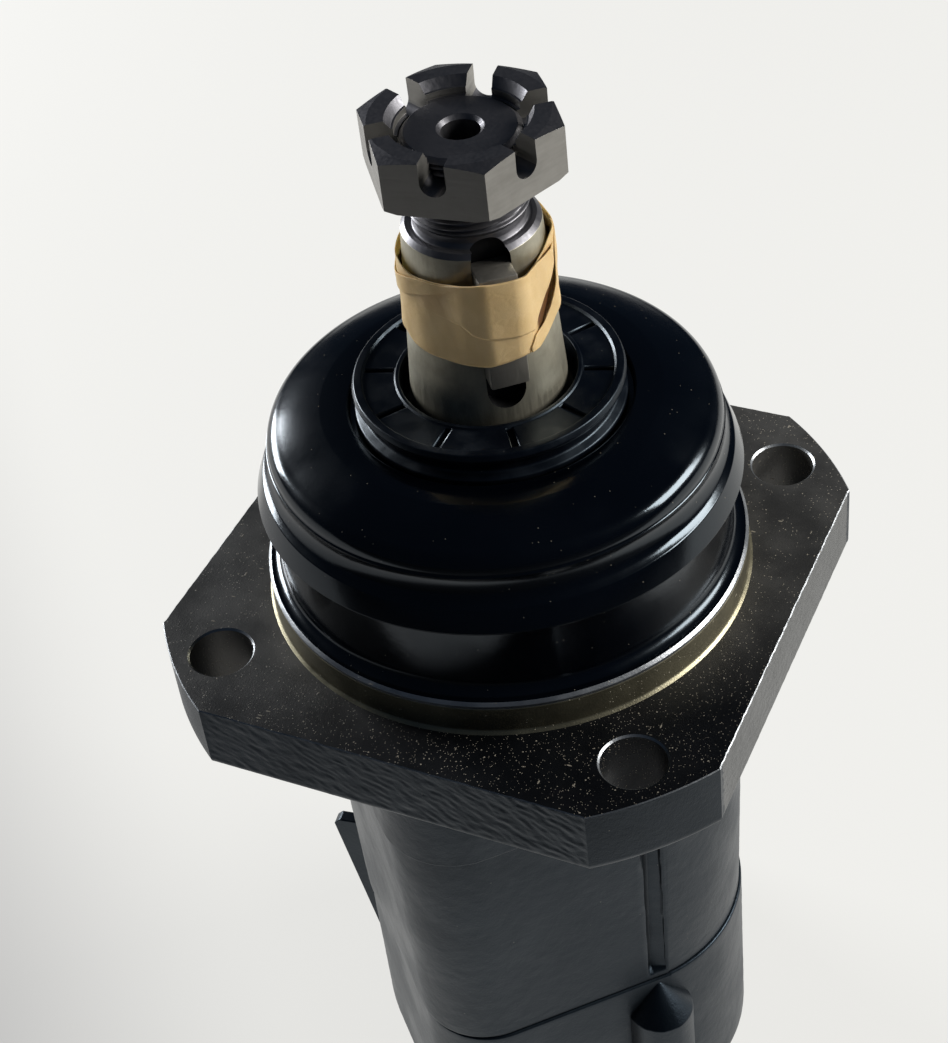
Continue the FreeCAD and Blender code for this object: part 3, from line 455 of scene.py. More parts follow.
@dataclass(frozen=True)
class Rubber:
    """Moulded rubber, faintly dusty."""

    name: str
    colour: Point
    rough: float

    def material(self) -> bpy.types.Material:
        """Builds the rubber.

        Returns:
            The material.
        """
        bench = Bench(self.name, Specular_Tint=(0.66, 0.84, 1.0, 1.0), Specular_IOR_Level=0.4)
        cloud = bench.grain(5.0, 3.0)
        fine = bench.grain(0.35, 2.0)
        base = bench.blend(cloud, self.colour, tuple(1.5 * c for c in self.colour))
        base = bench.blend(bench.specks(1.1, 0.12, 0.06) * 0.5, base, (0.25, 0.24, 0.22))
        rough = bench.ramp(cloud, 0.35, 0.7, self.rough - 0.06, self.rough + 0.1)
        return bench.feed(Base_Color=base, Roughness=rough, Normal=bench.bump(fine, 0.03)).material


@dataclass(frozen=True)
class Paper:
    """Crinkled, waxy paper tape."""

    name: str
    colour: Point
    shade: Point
    opening_shadow: Point = (0.11, 0.042, 0.010)

    def material(self) -> bpy.types.Material:
        """Builds the paper.

        Returns:
            The material.
        """
        bench = Bench(self.name, Specular_IOR_Level=0.25, Subsurface_Weight=0.2,
                      Subsurface_Radius=(1.0, 0.6, 0.3), Subsurface_Scale=0.006)
        cloud = bench.grain(9.0, 3.0)
        fibre = bench.grain(0.45, 4.0, bench.place((1.0, 1.0, 2.5)))
        crease = bench.node("ShaderNodeTexVoronoi", {"feature": "DISTANCE_TO_EDGE"},
                            {"Vector": bench.place((1.0, 1.0, 1.8)), "Scale": 1.0 / (3.2 * MM)}, "Distance")
        base = bench.blend(bench.ramp(cloud, 0.3, 0.7), self.colour, self.shade)
        base = bench.blend(fibre * 0.25, base, tuple(0.8 * c for c in self.shade))
        rough = bench.ramp(fibre, 0.3, 0.7, 0.5, 0.62)
        # The fold attribute carries a painted shadow, dark brown, in the opening between the tape's lap and its
        # slanted end.
        shade = bench.node("ShaderNodeAttribute", {"attribute_name": "fold"}, {}, "Fac")
        base = bench.blend(shade, base, self.opening_shadow)
        soft = bench.bump(bench.ramp(crease, 0.0, 0.25), 0.02)
        return bench.feed(Base_Color=base, Roughness=rough, Normal=bench.bump(fibre, 0.03, 1.0, soft)).material


class Finish(Enum):
    """The finishes of the motor's pieces."""

    NOSE = Paint("nose_paint", (0.0004, 0.0008, 0.0018), 0.155, 2.2, 0.015, 0.5, 0.006, 1.6)
    CAST = Paint("cast_paint", (0.0012, 0.0020, 0.0030), 0.37, 1.6, 0.055, 0.45, 0.05, 0.5,
                 (0.58, 0.77, 0.98, 1.0), 0.42)
    # Lighter copy of the cast paint: painted light on the flange's right and back sides.
    LIT_SIDE = Paint("lit_side_paint", (0.055, 0.056, 0.055), 0.42, 1.1, 0.16, 0.5, 0.10, 0.6, (1.0, 1.0, 1.0, 1.0))
    # The flange face carries the painted shadow of the nose at its front.
    FACE = MachinedIron("machined_flange", (0.074, 0.072, 0.068), 0.70, 0.50, 1.0, 0.97)
    EDGE = MachinedIron("bright_edge", (0.22, 0.23, 0.24), 0.9, 0.35, 0.2)
    PILOT = MachinedIron("pilot_iron", (0.17, 0.155, 0.105), 0.85, 0.36, 0.5)
    SHAFT = Steel("ground_shaft", (0.47, 0.443, 0.35), (0.30, 0.277, 0.213), 0.42, (1.0, 1.0, 0.08))
    KEY = Steel("key_steel", (0.36, 0.34, 0.30), (0.27, 0.255, 0.23), 0.45, (1.0, 1.0, 0.1))
    NUT = Steel("phosphate_nut", (0.34, 0.327, 0.302), (0.28, 0.268, 0.244), 0.36, (0.1, 0.1, 1.0))
    # Darker copy of the steel: painted shade on the nut's upward faces and on the thread under the nut.
    SHADE_STEEL = Steel("steel_painted_shade", (0.150, 0.148, 0.159), (0.118, 0.116, 0.127), 0.34, (1.0, 1.0, 0.3))
    RUBBER = Rubber("seal_rubber", (0.0008, 0.0014, 0.0032), 0.36)
    TAPE = Paper("paper_tape", (0.76, 0.515, 0.245), (0.69, 0.45, 0.20))
    BEARING = Steel("bearing_steel", (0.52, 0.52, 0.50), (0.40, 0.39, 0.36), 0.18, (1.0, 1.0, 0.3), 0.2)
    PRESSED = Steel("pressed_steel", (0.42, 0.41, 0.38), (0.30, 0.28, 0.24), 0.34, (1.0, 1.0, 0.5))
    GROUND = Steel("ground_iron", (0.32, 0.31, 0.29), (0.22, 0.21, 0.19), 0.30, (0.3, 1.0, 1.0))
    # Real black oxide on the screws and plug, and painted shade in the keyway.
    DARK = Steel("black_oxide_and_keyway_shade", (0.030, 0.030, 0.032), (0.018, 0.018, 0.018), 0.42, (1.0, 1.0, 0.3))

    def __init__(self, recipe: "Paint | MachinedIron | Steel | Rubber | Paper") -> None:
        """Keeps the recipe and builds its material once."""
        self.recipe = recipe
        self.built = None

    def material(self) -> bpy.types.Material:
        """Builds the finish on first use.

        Returns:
            The material.
        """
        if self.built is None:
            self.built = self.recipe.material()
        return self.built


class Workpiece:
    """Mesh under construction, in millimetres."""

    def __init__(self) -> None:
        """Starts an empty mesh with a layer that numbers the points of an outline."""
        self.bm = bmesh.new()
        self.number = self.bm.verts.layers.int.new("number")

    def path(self, points: Sequence[Vector], closed: bool = True) -> tuple[list[BMVert], list[BMEdge]]:
        """Lays a chain of edges through points and numbers its vertices.

        Args:
            points: The points.
            closed: Whether the chain's ends are joined.

        Returns:
            The new vertices and edges.
        """
        verts = [self.bm.verts.new(p) for p in points]
        for k, vert in enumerate(verts):
            vert[self.number] = k
        pairs = list(zip(verts, verts[1:])) + ([(verts[-1], verts[0])] if closed else [])
        return verts, [self.bm.edges.new(pair) for pair in pairs]

    def spin(self, profile: Sequence[Point], steps: int = 256, closed: bool = True,
             where: Matrix | None = None) -> list[BMVert]:
        """Turns a profile of (r, z) points about the axis, or about the axis of a matrix.

        Args:
            profile: The points.
            steps: Faces around.
            closed: Whether the profile's ends are joined.
            where: Matrix that moves the turned form into place.

        Returns:
            The new vertices.
        """
        before = set(self.bm.verts)
        verts, edges = self.path([Vector((r, 0.0, z)) for r, z in profile], closed)
        bmesh.ops.spin(self.bm, geom=verts + edges, cent=(0, 0, 0), axis=(0, 0, 1), dvec=(0, 0, 0),
                       angle=2.0 * math.pi, steps=steps, use_merge=True, use_duplicate=False)
        made = [v for v in self.bm.verts if v not in before]
        bmesh.ops.remove_doubles(self.bm, verts=made, dist=0.0005)
        made = [v for v in self.bm.verts if v not in before]
        if where is not None:
            bmesh.ops.transform(self.bm, matrix=where, verts=made)
        return made

    def rows(self, edges: list[BMEdge], heights: Sequence[float],
             spot: Callable[[int, float], Vector]) -> list[BMEdge]:
        """Extrudes an outline row by row and sets each row by a rule.

        Args:
            edges: The outline's edges.
            heights: Heights of the new rows.
            spot: Gives a point from its number and height.

        Returns:
            The edges of the last row.
        """
        for z in heights:
            made = bmesh.ops.extrude_edge_only(self.bm, edges=edges)["geom"]
            for vert in made:
                if isinstance(vert, BMVert):
                    vert.co = spot(vert[self.number], z)
            edges = self.outer_edges(made)
        return edges

    def outer_edges(self, made: list) -> list[BMEdge]:
        """Edges of an extruded row whose two ends are both new."""
        fresh = {v for v in made if isinstance(v, BMVert)}
        return [e for e in made if isinstance(e, BMEdge) and all(v in fresh for v in e.verts)]

    def fill(self, edges: list[BMEdge]) -> None:
        """Closes a flat outline, with holes where further loops lie inside it."""
        bmesh.ops.triangle_fill(self.bm, use_beauty=True, use_dissolve=False, edges=edges)

    def circle(self, centre: Vector, radius: float, steps: int) -> list[BMEdge]:
        """Lays a level circle."""
        return self.path([centre + turn_of(360.0 * k / steps, radius) for k in range(steps)])[1]

    def well(self, centre: Vector, sections: Sequence[Point], steps: int,
             floor: bool = False) -> tuple[list[BMEdge], list[BMEdge]]:
        """Wall of an upright hole through levels given as (radius, z).

        Args:
            centre: Centre of the hole.
            sections: Radius and height of each level, the first at the opening.
            steps: Faces around.
            floor: Whether the last level is closed.

        Returns:
            Edges of the first and the last level.
        """
        flat = Vector((centre.x, centre.y, 0.0))
        first = self.circle(flat + Vector((0, 0, sections[0][1])), sections[0][0], steps)
        last = first
        for r, z in sections[1:]:
            last = self.rows(last, [z], lambda k, height, r=r: flat + turn_of(360.0 * k / steps, r, height))
        if floor:
            self.fill(last)
        return first, last

    def prism(self, points: Sequence[Vector], along: Point) -> None:
        """Closes a flat outline and extrudes it.

        Args:
            points: The outline.
            along: Vector to the other end.
        """
        self.fill(self.path(points)[1])
        made = bmesh.ops.extrude_face_region(self.bm, geom=list(self.bm.faces))["geom"]
        bmesh.ops.translate(self.bm, vec=along, verts=[v for v in made if isinstance(v, BMVert)])

    def add(self, other: "Workpiece", where: Matrix | None = None) -> None:
        """Copies another mesh in.

        Args:
            other: The other mesh.
            where: Matrix that moves it.
        """
        mesh = bpy.data.meshes.new("part")
        other.bm.to_mesh(mesh)
        if where is not None:
            mesh.transform(where)
        self.bm.from_mesh(mesh)
        bpy.data.meshes.remove(mesh)

    def object(self, name: str, finish: Finish, sharp: float = 30.0) -> bpy.types.Object:
        """Finishes the mesh and makes its object, in metres.

        Args:
            name: Name of the piece.
            finish: Its finish.
            sharp: Edges that turn by more degrees than this stay sharp.

        Returns:
            The object, at the origin.
        """
        bm = self.bm
        bmesh.ops.remove_doubles(bm, verts=bm.verts, dist=0.001)
        bmesh.ops.dissolve_degenerate(bm, edges=bm.edges, dist=0.0005)
        bmesh.ops.recalc_face_normals(bm, faces=bm.faces)
        bmesh.ops.scale(bm, vec=(MM, MM, MM), verts=bm.verts)
        limit = math.radians(sharp)
        for face in bm.faces:
            face.smooth = True
        for edge in bm.edges:
            edge.smooth = edge.calc_face_angle(0.0) < limit
        mesh = bpy.data.meshes.new(name)
        bm.to_mesh(mesh)
        bm.free()
        made = bpy.data.objects.new(name, mesh)
        bpy.context.scene.collection.objects.link(made)
        mesh.materials.append(finish.material())
        return made


def carve(target: bpy.types.Object, cutters: Sequence[bpy.types.Object], operation: str = "DIFFERENCE") -> None:
    """Applies exact booleans to a mesh and removes the cutters.

    Args:
        target: Piece that is cut.
        cutters: The cutting pieces.
        operation: The boolean's kind.
    """
    for cutter in cutters:
        tool = target.modifiers.new("cut", "BOOLEAN")
        tool.object = cutter
        tool.operation = operation
        tool.solver = "EXACT"
        settle(target)
        bpy.data.objects.remove(cutter)


def settle(target: bpy.types.Object) -> None:
    """Applies the modifiers of a piece to its mesh.

    Args:
        target: The piece.
    """
    bpy.context.view_layer.update()
    graph = bpy.context.evaluated_depsgraph_get()
    mesh = bpy.data.meshes.new_from_object(target.evaluated_get(graph), depsgraph=graph)
    old = target.data
    target.modifiers.clear()
    target.data = mesh
    bpy.data.meshes.remove(old)


def soften(target: bpy.types.Object, width: float, segments: int = 2, angle: float = 35.0) -> None:
    """Adds a small bevel to the sharp edges of a piece.

    Args:
        target: The piece.
        width: Width in millimetres.
        segments: Faces across the bevel.
        angle: Edges that turn by more degrees than this are bevelled.
    """
    bevel = target.modifiers.new("edge_break", "BEVEL")
    bevel.width = width * MM
    bevel.segments = segments
    bevel.limit_method = "ANGLE"
    bevel.angle_limit = math.radians(angle)
    bevel.profile = 0.5
    bevel.use_clamp_overlap = True
    bevel.harden_normals = True


def keep(piece: bpy.types.Object, body: str, nodes: Sequence[str]) -> bpy.types.Object:
    """Makes a piece ride on a body and stand for CAD nodes.

    Args:
        piece: The piece.
        body: The body that it rides on.
        nodes: The nodes that it stands for.

    Returns:
        The piece.
    """
    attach(piece, body)
    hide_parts(*nodes)
    LOG.info("%s: %d faces, on %s", piece.name, len(piece.data.polygons), body)
    return piece


@dataclass
class Nose:
    """Turned front of the housing: pilot, neck, rim, band, dome and seal recess."""

    pilot_r: float = 63.5
    pilot_h: float = 10.0
    neck_r: float = 59.2
    rim_r: float = 62.6
    rim_z: float = 32.8
    ring_r: float = 60.4
    ring_z: float = 39.2
    foot_mid: Point = (60.2, 11.0)
    band_mid: Point = (57.75, 43.6)
    band_top: float = 47.3
    band_top_r: float = 58.15
    band_edge: Profile = ((57.95, 47.42), (57.75, 47.8))
    dome_low: Point = (57.75, 48.2)
    dome_mid: Point = (56.75, 51.2)
    dome_high: Point = (54.3, 53.0)
    crown_mid: Point = (49.3, 55.15)
    top: float = 57.0
    flat_r: float = 43.0
    recess_r: float = 35.8
    seat_z: float = 54.5
    bore_r: float = 27.53
    seal_floor: float = 42.0
    web_z: float = 40.0
    cup_r: float = 37.53
    inside_r: float = 38.03

    def build(self) -> None:
        """Builds the painted nose and the bare pilot."""
        self.painted()
        self.pilot()

    def painted(self) -> None:
        """Painted nose from the pilot's top up."""
        foot = (self.pilot_r - 0.8, self.pilot_h)
        neck = (self.neck_r, self.pilot_h + 3.4)
        outer = [(self.inside_r, self.pilot_h), foot] + bow(foot, self.foot_mid, neck, 10)
        outer += rounded([
            neck, (self.neck_r, self.rim_z - 1.4, 0.8), (self.rim_r - 0.6, self.rim_z - 0.3, 0.3),
            (self.rim_r, self.rim_z + 0.5, 0.35), (self.ring_r, self.ring_z, 0.9),
            (self.ring_r - 1.3, self.ring_z + 0.9)])
        start = outer.pop()
        end = (self.band_top_r, self.band_top)
        outer += [start] + bow(start, self.band_mid, end, 12) + [end, *self.band_edge]
        outer += [self.dome_low] + bow(self.dome_low, self.dome_mid, self.dome_high, 20)
        outer += bow(self.dome_high, self.crown_mid, (self.flat_r, self.top), 30)
        outer += rounded([
            (self.flat_r, self.top), (self.recess_r + 0.1, self.top, 0.7), (self.recess_r, self.seat_z, 0.3),
            (self.bore_r, self.seat_z), (self.bore_r, self.seal_floor), (24.5, self.seal_floor),
            (24.5, self.web_z), (self.cup_r, self.web_z), (self.cup_r, 21.0), (self.inside_r, 21.0)], 5)
        work = Workpiece()
        work.spin(outer, 320)
        keep(work.object("nose_casting", Finish.NOSE, 40.0), "housing", [HOUSING])

    def pilot(self) -> None:
        """Bare turned pilot with the bright edges above and below it."""
        r = self.pilot_r
        ring = rounded([
            (self.inside_r, 0.0), (r + 0.9, 0.0), (r, 0.8, 0.9), (r, 8.1, 0.1), (r - 0.15, 8.35, 0.1),
            (r - 0.15, 8.6, 0.1), (r, 8.85, 0.1), (r, 9.2, 0.25), (r - 0.8, self.pilot_h, 0.1),
            (self.inside_r, self.pilot_h)], 4)
        work = Workpiece()
        work.spin(ring, 320)
        piece = work.object("pilot_ring", Finish.PILOT, 40.0)
        piece.data.materials.append(Finish.EDGE.material())
        for face in piece.data.polygons:
            face.material_index = int(face.center.z > 8.3 * MM)
        keep(piece, "housing", [HOUSING])


@dataclass
class Flange:
    """Square mounting flange with turned corners and rippled cast sides."""

    half: float = 77.6
    corner_r: float = 93.75
    thick: float = 20.4
    edge_r: float = 2.5
    hole_circle_r: float = 80.95
    hole_r: float = 8.35
    hole_break: float = 0.5
    bore_r: float = 38.03
    pitch: float = 0.46
    top_break: float = 0.25

    def outline(self) -> list[tuple[Vector, Vector, float]]:
        """Lays points round the flange.

        Returns:
            Points with their outward direction and their share of ripple.
        """
        flat_half = math.degrees(math.acos(self.half / self.corner_r))
        reach = math.sqrt(self.corner_r ** 2 - self.half ** 2)
        spots = []
        for side in range(4):
            azimuth = 90.0 * side
            out = turn_of(azimuth)
            along = turn_of(azimuth + 90.0)
            for t in steps_between(-reach, reach, self.pitch)[:-1]:
                edge = reach - abs(t)
                spots.append((out * self.half + along * t, out, ease(0.0, 1.2, edge)))
            for turn in steps_between(flat_half, 90.0 - flat_half, 1.2)[:-1]:
                spots.append((turn_of(azimuth + turn, self.corner_r), turn_of(azimuth + turn), 0.0))
        return spots

    def ripple(self, spot: Vector, out: Vector, z: float) -> float:
        """Depth of the cast ripple at a point of a side.

        Args:
            spot: Point of the outline.
            out: Outward direction.
            z: Height.

        Returns:
            The depth.
        """
        along = spot.cross(out).z + 300.0 * math.atan2(out.y, out.x)
        deep = 0.27 if out.y < -0.5 else 0.22
        lean = math.radians(25.0)
        lengthwise = along * math.cos(lean) + z * math.sin(lean)
        across = z * math.cos(lean) - along * math.sin(lean)
        across += 0.9 * noise.noise(Vector((along / 7.0, z / 7.0, 4.0)))
        wave = noise.noise(Vector((lengthwise / 3.6, across / 1.15, 1.7)))
        small = noise.noise(Vector((lengthwise / 1.7, across / 0.8, 9.2)))
        return deep * (0.5 + 0.5 * clamp(1.2 * wave + 0.45 * small, -1.0, 1.0))

    def build(self) -> None:
        """Builds the flange as a machined face and cast sides, with four holes."""
        spots = self.outline()

        def spot(k: int, z: float) -> Vector:
            """Point of the side.

            Args:
                k: Number of the point.
                z: Height.

            Returns:
                The point.
            """
            base, out, share = spots[k]
            inset = roll(self.edge_r, z + self.thick - self.edge_r)
            if z > -self.top_break:
                inset = self.top_break + z
            if share > 0.0:
                fade = ease(-self.thick + 0.3, -self.thick + 3.5, z)
                inset += share * fade * self.ripple(base, out, z)
            return base - out * inset + Vector((0.0, 0.0, z))

        work = Workpiece()
        top = work.path([spot(k, 0.0) for k in range(len(spots))])[1]
        heights = [-self.top_break] + steps_between(-0.6, self.edge_r - self.thick, 0.42)
        heights += quarter(-self.thick, self.edge_r, range(15, 91, 15))
        low = work.rows(top, heights, spot)
        caps = [top, low]
        sections = ((self.hole_r + self.hole_break, 0.0), (self.hole_r, -self.hole_break),
                    (self.hole_r, self.hole_break - self.thick), (self.hole_r + self.hole_break, -self.thick))
        centres = [turn_of(45.0 + 90.0 * k, self.hole_circle_r) for k in range(4)]
        for centre in centres:
            first, last = work.well(centre, sections, 72)
            caps[0] = caps[0] + first
            caps[1] = caps[1] + last
        first, last = work.well(Vector((0, 0, 0)), ((self.bore_r, 0.0), (self.bore_r, -self.thick)), 128)
        work.fill(caps[0] + first)
        work.fill(caps[1] + last)
        piece = work.object("flange_plate", Finish.FACE, 28.0)
        for finish in (Finish.CAST, Finish.LIT_SIDE, Finish.EDGE):
            piece.data.materials.append(finish.material())
        for face in piece.data.polygons:
            face.material_index = self.zone(face.center / MM, centres)
        keep(piece, "housing", [HOUSING])

    def zone(self, spot: Vector, centres: Sequence[Vector]) -> int:
        """Chooses the finish at a point.

        Args:
            spot: Centre of a face.
            centres: Centres of the bolt holes.

        Returns:
            0 for the machined top, 1 for a painted side, 2 for a side with lighter paint as painted light on the
            right and back, and 3 for a bright edge.
        """
        radius = math.hypot(spot.x, spot.y)
        side = max(abs(spot.x), abs(spot.y)) > self.half - 2.2 or radius > self.corner_r - 1.0
        if spot.z < -self.top_break:
            if not side and spot.z > -self.thick + 0.2:
                return 0
            # Flat right and back sides take the lighter paint, painted light.
            return 2 if radius < self.corner_r - 1.2 and max(spot.x, spot.y) > self.half - 2.2 else 1
        rim = min((spot.to_2d() - centre.to_2d()).length for centre in centres) < self.hole_r + self.hole_break
        edge = spot.z < -0.01 and (rim or radius > self.corner_r - 1.0 or side)
        return 3 if edge else 0


@dataclass
class Casting:
    """Near-square drafted casting below the flange, split at the joint into two housings."""

    half_front: float = 58.5
    half_side: float = 53.3
    draft: float = 1.9
    top: float = -20.4
    joint: float = -122.0
    base: float = -190.0
    right_r: float = 43.0
    back_r: float = 25.0
    left_r: float = 54.0
    front_r: float = 20.0
    face_azimuth: float = -45.0
    collar_low: float = -41.9
    collar_proud: float = 1.0
    flare: float = 1.5
    groove_r: float = 2.6
    groove_offset: float = 11.5
    groove_foot: float = 3.0
    rear_shift: float = 0.8
    base_r: float = 9.0
    lip_r: float = 0.7
    fin_w: float = 4.0
    fin_azimuth: float = 188.0
    skin_depth: float = 0.07
    pitch: float = 1.1
    bore: Profile = ((38.03, -20.4), (38.03, -40.0), (40.03, -40.0), (40.03, -58.0), (41.03, -58.0), (41.03, -64.0),
        (41.53, -64.0), (41.53, -122.0))
    pocket: Profile = ((43.5, -122.0), (43.5, -164.0))
    screw_hole: Profile = ((7.4, -190.0), (6.9, -189.5), (6.9, -171.0), (4.4, -171.0), (4.4, -140.0))
    screw_azimuths: Point = (80.0, 106.0, 260.0, 286.0)
    screw_circle_r: float = 53.5
    boss_r: float = 9.6
    plug_r: float = 4.23
    plug_depth: float = 34.0

    def stations(self) -> list[tuple[int, str, float]]:
        """Lays stations round the outline.

        Returns:
            Corner arcs by angle and straights by share of their length.
        """
        marks = []
        for corner, (radius, length) in enumerate(zip(self.radii(), self.straights())):
            count = math.ceil(radius * math.pi / 2.0 / self.pitch)
            marks += [(corner, "arc", -45.0 + 90.0 * k / count) for k in range(count)]
            count = math.ceil(length / self.pitch)
            shares = [k / count for k in range(count)]
            if corner == 3:
                mid = self.groove_share(length)
                band = (self.groove_r + 0.8) / length
                shares = [s for s in shares if abs(s - mid) > band]
                shares += [mid + band * (k / 14.0 - 1.0) for k in range(29)]
                shares.sort()
            marks += [(corner, "run", share) for share in shares]
        return marks

    def radii(self) -> tuple[float, float, float, float]:
        """Radii of the four corners, from the right one on."""
        return self.right_r, self.back_r, self.left_r, self.front_r

    def straights(self) -> list[float]:
        """Length of the straight that follows each corner, at the joint."""
        ends = [self.corner(k, self.joint, 0.0) for k in range(4)]
        return [(ends[(k + 1) % 4][0] - ends[k][0]).dot(turn_of(90.0 * k + 135.0)) for k in range(4)]

    def groove_share(self, length: float) -> float:
        """Finds the groove along the front face's straight.

        Args:
            length: Length of the straight.

        Returns:
            The groove's middle as a share of the length.
        """
        centre = self.corner(3, self.joint, 0.0)[0]
        along = turn_of(self.face_azimuth + 90.0)
        return (self.groove_offset - centre.dot(along)) / length

    def corner(self, k: int, z: float, grow: float) -> tuple[Vector, float]:
        """Corner of the outline at a height.

        Args:
            k: Number of the corner.
            z: Height.
            grow: How far the outline is grown outwards.

        Returns:
            The corner's centre and radius.
        """
        wider = grow + self.draft * max(0.0, (z - self.joint) / (self.top - self.joint))
        radius = self.radii()[k] + grow
        front = (1, -1, -1, 1)[k]
        side = (1, 1, -1, -1)[k]
        centre = (turn_of(self.face_azimuth, front * (self.half_front + wider - radius))
                  + turn_of(self.face_azimuth + 90.0, side * (self.half_side + wider - radius)))
        return centre, radius

    def point(self, mark: tuple[int, str, float], z: float, grow: float) -> tuple[Vector, Vector]:
        """Point of a station.

        Args:
            mark: The station.
            z: Height.
            grow: How far the outline is grown outwards.

        Returns:
            The point and its outward direction.
        """
        k, kind, amount = mark
        centre, radius = self.corner(k, z, grow)
        if kind == "arc":
            out = turn_of(90.0 * k + amount)
            return centre + out * radius, out
        out = turn_of(90.0 * k + 45.0)
        start = centre + out * radius
        following, radius = self.corner((k + 1) % 4, z, grow)
        return start.lerp(following + out * radius, amount), out

    def groove_depth(self, spot: Vector, z: float) -> float:
        """Depth of the half-round groove down the front face.

        Only the place along the face is looked at, so the groove is also cut in the back face, where the CAD
        body has none.

        Args:
            spot: Point of the outline.
            z: Height.

        Returns:
            The depth, 0 off the groove.
        """
        off = abs(spot.dot(turn_of(self.face_azimuth + 90.0)) - self.groove_offset)
        r = self.groove_r
        depth = math.sqrt(max(0.0, r * r - off * off)) - 0.2 if off < r else 0.0
        lip = 0.25 * (1.0 - ease(r, r + 0.8, off)) if off >= r else 0.25
        foot = self.joint + self.groove_foot
        return max(0.0, depth + lip) * ease(foot - 1.0, foot + 1.2, z)

    def skin(self, spot: Vector, z: float, amount: float) -> float:
        """Height of the sand-cast skin."""
        where = Vector((spot.x, spot.y, z))
        return amount * (noise.noise(where / 2.6) + 0.6 * noise.noise(where / 1.3) + 0.4 * noise.noise(where / 9.0))

    def collar(self, spot: Vector, z: float) -> float:
        """How far the collar under the flange stands out.

        Args:
            spot: Point of the outline.
            z: Height.

        Returns:
            The distance, 0 below the collar.
        """
        azimuth = math.degrees(math.atan2(spot.y, spot.x))
        low = between(((-180.0, -25.0), (-168.0, -28.0), (-160.0, -36.0), (-150.0, self.collar_low),
                       (180.0, self.collar_low)), azimuth)
        return self.collar_proud * ease(low - 0.5, low + 0.5, z)

    def flare_out(self, z: float) -> float:
        """Fillet under the flange."""
        rise = clamp((z - (self.top - self.flare)) / self.flare)
        return self.flare * (1.0 - math.sqrt(1.0 - rise * rise))

    def front_housing(self) -> None:
        """Builds the casting from the flange down to the joint, bored through."""
        marks = self.stations()

        def spot(k: int, z: float) -> Vector:
            """Point of the side.

            Args:
                k: Number of the point.
                z: Height.

            Returns:
                The point.
            """
            base, out = self.point(marks[k], z, 0.0)
            amount = self.skin_depth * ease(self.joint, self.joint + 2.0, z)
            rise = self.collar(base, z) + self.flare_out(z) + self.skin(base, z, amount)
            rise -= roll(self.lip_r, z - self.joint - self.lip_r)
            rise -= self.groove_depth(base, z) + (0.1 if z < self.top - 0.5 else 0.0)
            return base + out * rise + Vector((0.0, 0.0, z))

        work = Workpiece()
        top = work.path([spot(k, self.top) for k in range(len(marks))])[1]
        heights = [self.top - self.flare * a for a in (0.06, 0.2, 0.45, 0.75, 1.0)]
        heights += steps_between(self.top - self.flare - 1.0, self.collar_low + 1.4, self.pitch)
        heights += steps_between(self.collar_low + 1.0, self.collar_low - 1.0, 0.25)
        heights += steps_between(self.collar_low - 2.0, self.joint + 6.5, self.pitch)
        heights += steps_between(self.joint + 6.0, self.joint + 0.8, 0.4)
        heights += quarter(self.joint, self.lip_r, (20, 45, 70, 90))
        low = work.rows(top, heights, spot)
        first, last = work.well(Vector((0, 0, 0)), self.bore, 128)
        work.fill(top + first)
        work.fill(low + last)
        keep(work.object("body_casting", Finish.CAST, 38.0), "housing", [HOUSING])

    def rear_housing(self) -> None:
        """Builds the cup below the joint, with its pocket and the holes in its base."""
        marks = self.stations()
        shift = Vector((self.rear_shift, 0.0, 0.0))

        def spot(k: int, z: float) -> Vector:
            """Point of the side.

            Args:
                k: Number of the point.
                z: Height.

            Returns:
                The point.
            """
            base, out = self.point(marks[k], min(z, self.joint), 0.0)
            amount = self.skin_depth * ease(0.0, 3.0, self.joint - z) * ease(0.0, 3.0, z - self.base)
            rise = self.skin(base, z, amount) - 0.1
            rise -= roll(self.base_r, z - self.base - self.base_r)
            rise -= roll(self.lip_r, self.joint - z - self.lip_r)
            return base + out * rise + shift + Vector((0.0, 0.0, z))

        work = Workpiece()
        top = work.path([spot(k, self.joint) for k in range(len(marks))])[1]
        heights = quarter(self.joint, -self.lip_r, (70, 45, 20))
        heights += steps_between(self.joint - self.lip_r, self.base + self.base_r, 1.2)
        heights += quarter(self.base, self.base_r, range(10, 91, 10))
        low = work.rows(top, heights, spot)
        first, _ = work.well(Vector((0, 0, 0)), self.pocket, 128, floor=True)
        work.fill(top + first)
        for azimuth in self.screw_azimuths:
            first, _ = work.well(turn_of(azimuth, self.screw_circle_r), self.screw_hole, 40, floor=True)
            low = low + first
        work.fill(low)
        keep(work.object("rear_casting", Finish.CAST, 38.0), "housing", [REAR])
        self.boss(turn_of(self.face_azimuth, self.half_front) + turn_of(self.face_azimuth + 90.0, self.groove_offset))
        self.fin()

    def boss(self, spot: Vector) -> None:
        """Builds the cone-topped boss on the front face, with its plug hole.

        Args:
            spot: Place of the boss's axis.
        """
        top = self.joint - 1.6
        low = top - 11.4
        wall = rounded([(self.plug_r, self.base), (8.6, self.base), (self.boss_r, self.base + 1.0, 0.6),
                        (self.boss_r, low, 0.9), (0.9, top - 0.6, 0.8), (0.0, top)], 5)
        wall += [(0.0, self.base + self.plug_depth), (self.plug_r, self.base + self.plug_depth)]
        work = Workpiece()
        verts = work.spin(wall, 64, where=Matrix.Translation(spot))
        for vert in verts:
            if vert.co.z > self.base + 36.0:
                vert.co += (vert.co - spot).to_2d().to_3d().normalized() * self.skin(vert.co, vert.co.z, 0.14)
        keep(work.object("boss_cone", Finish.CAST, 38.0), "housing", [REAR])

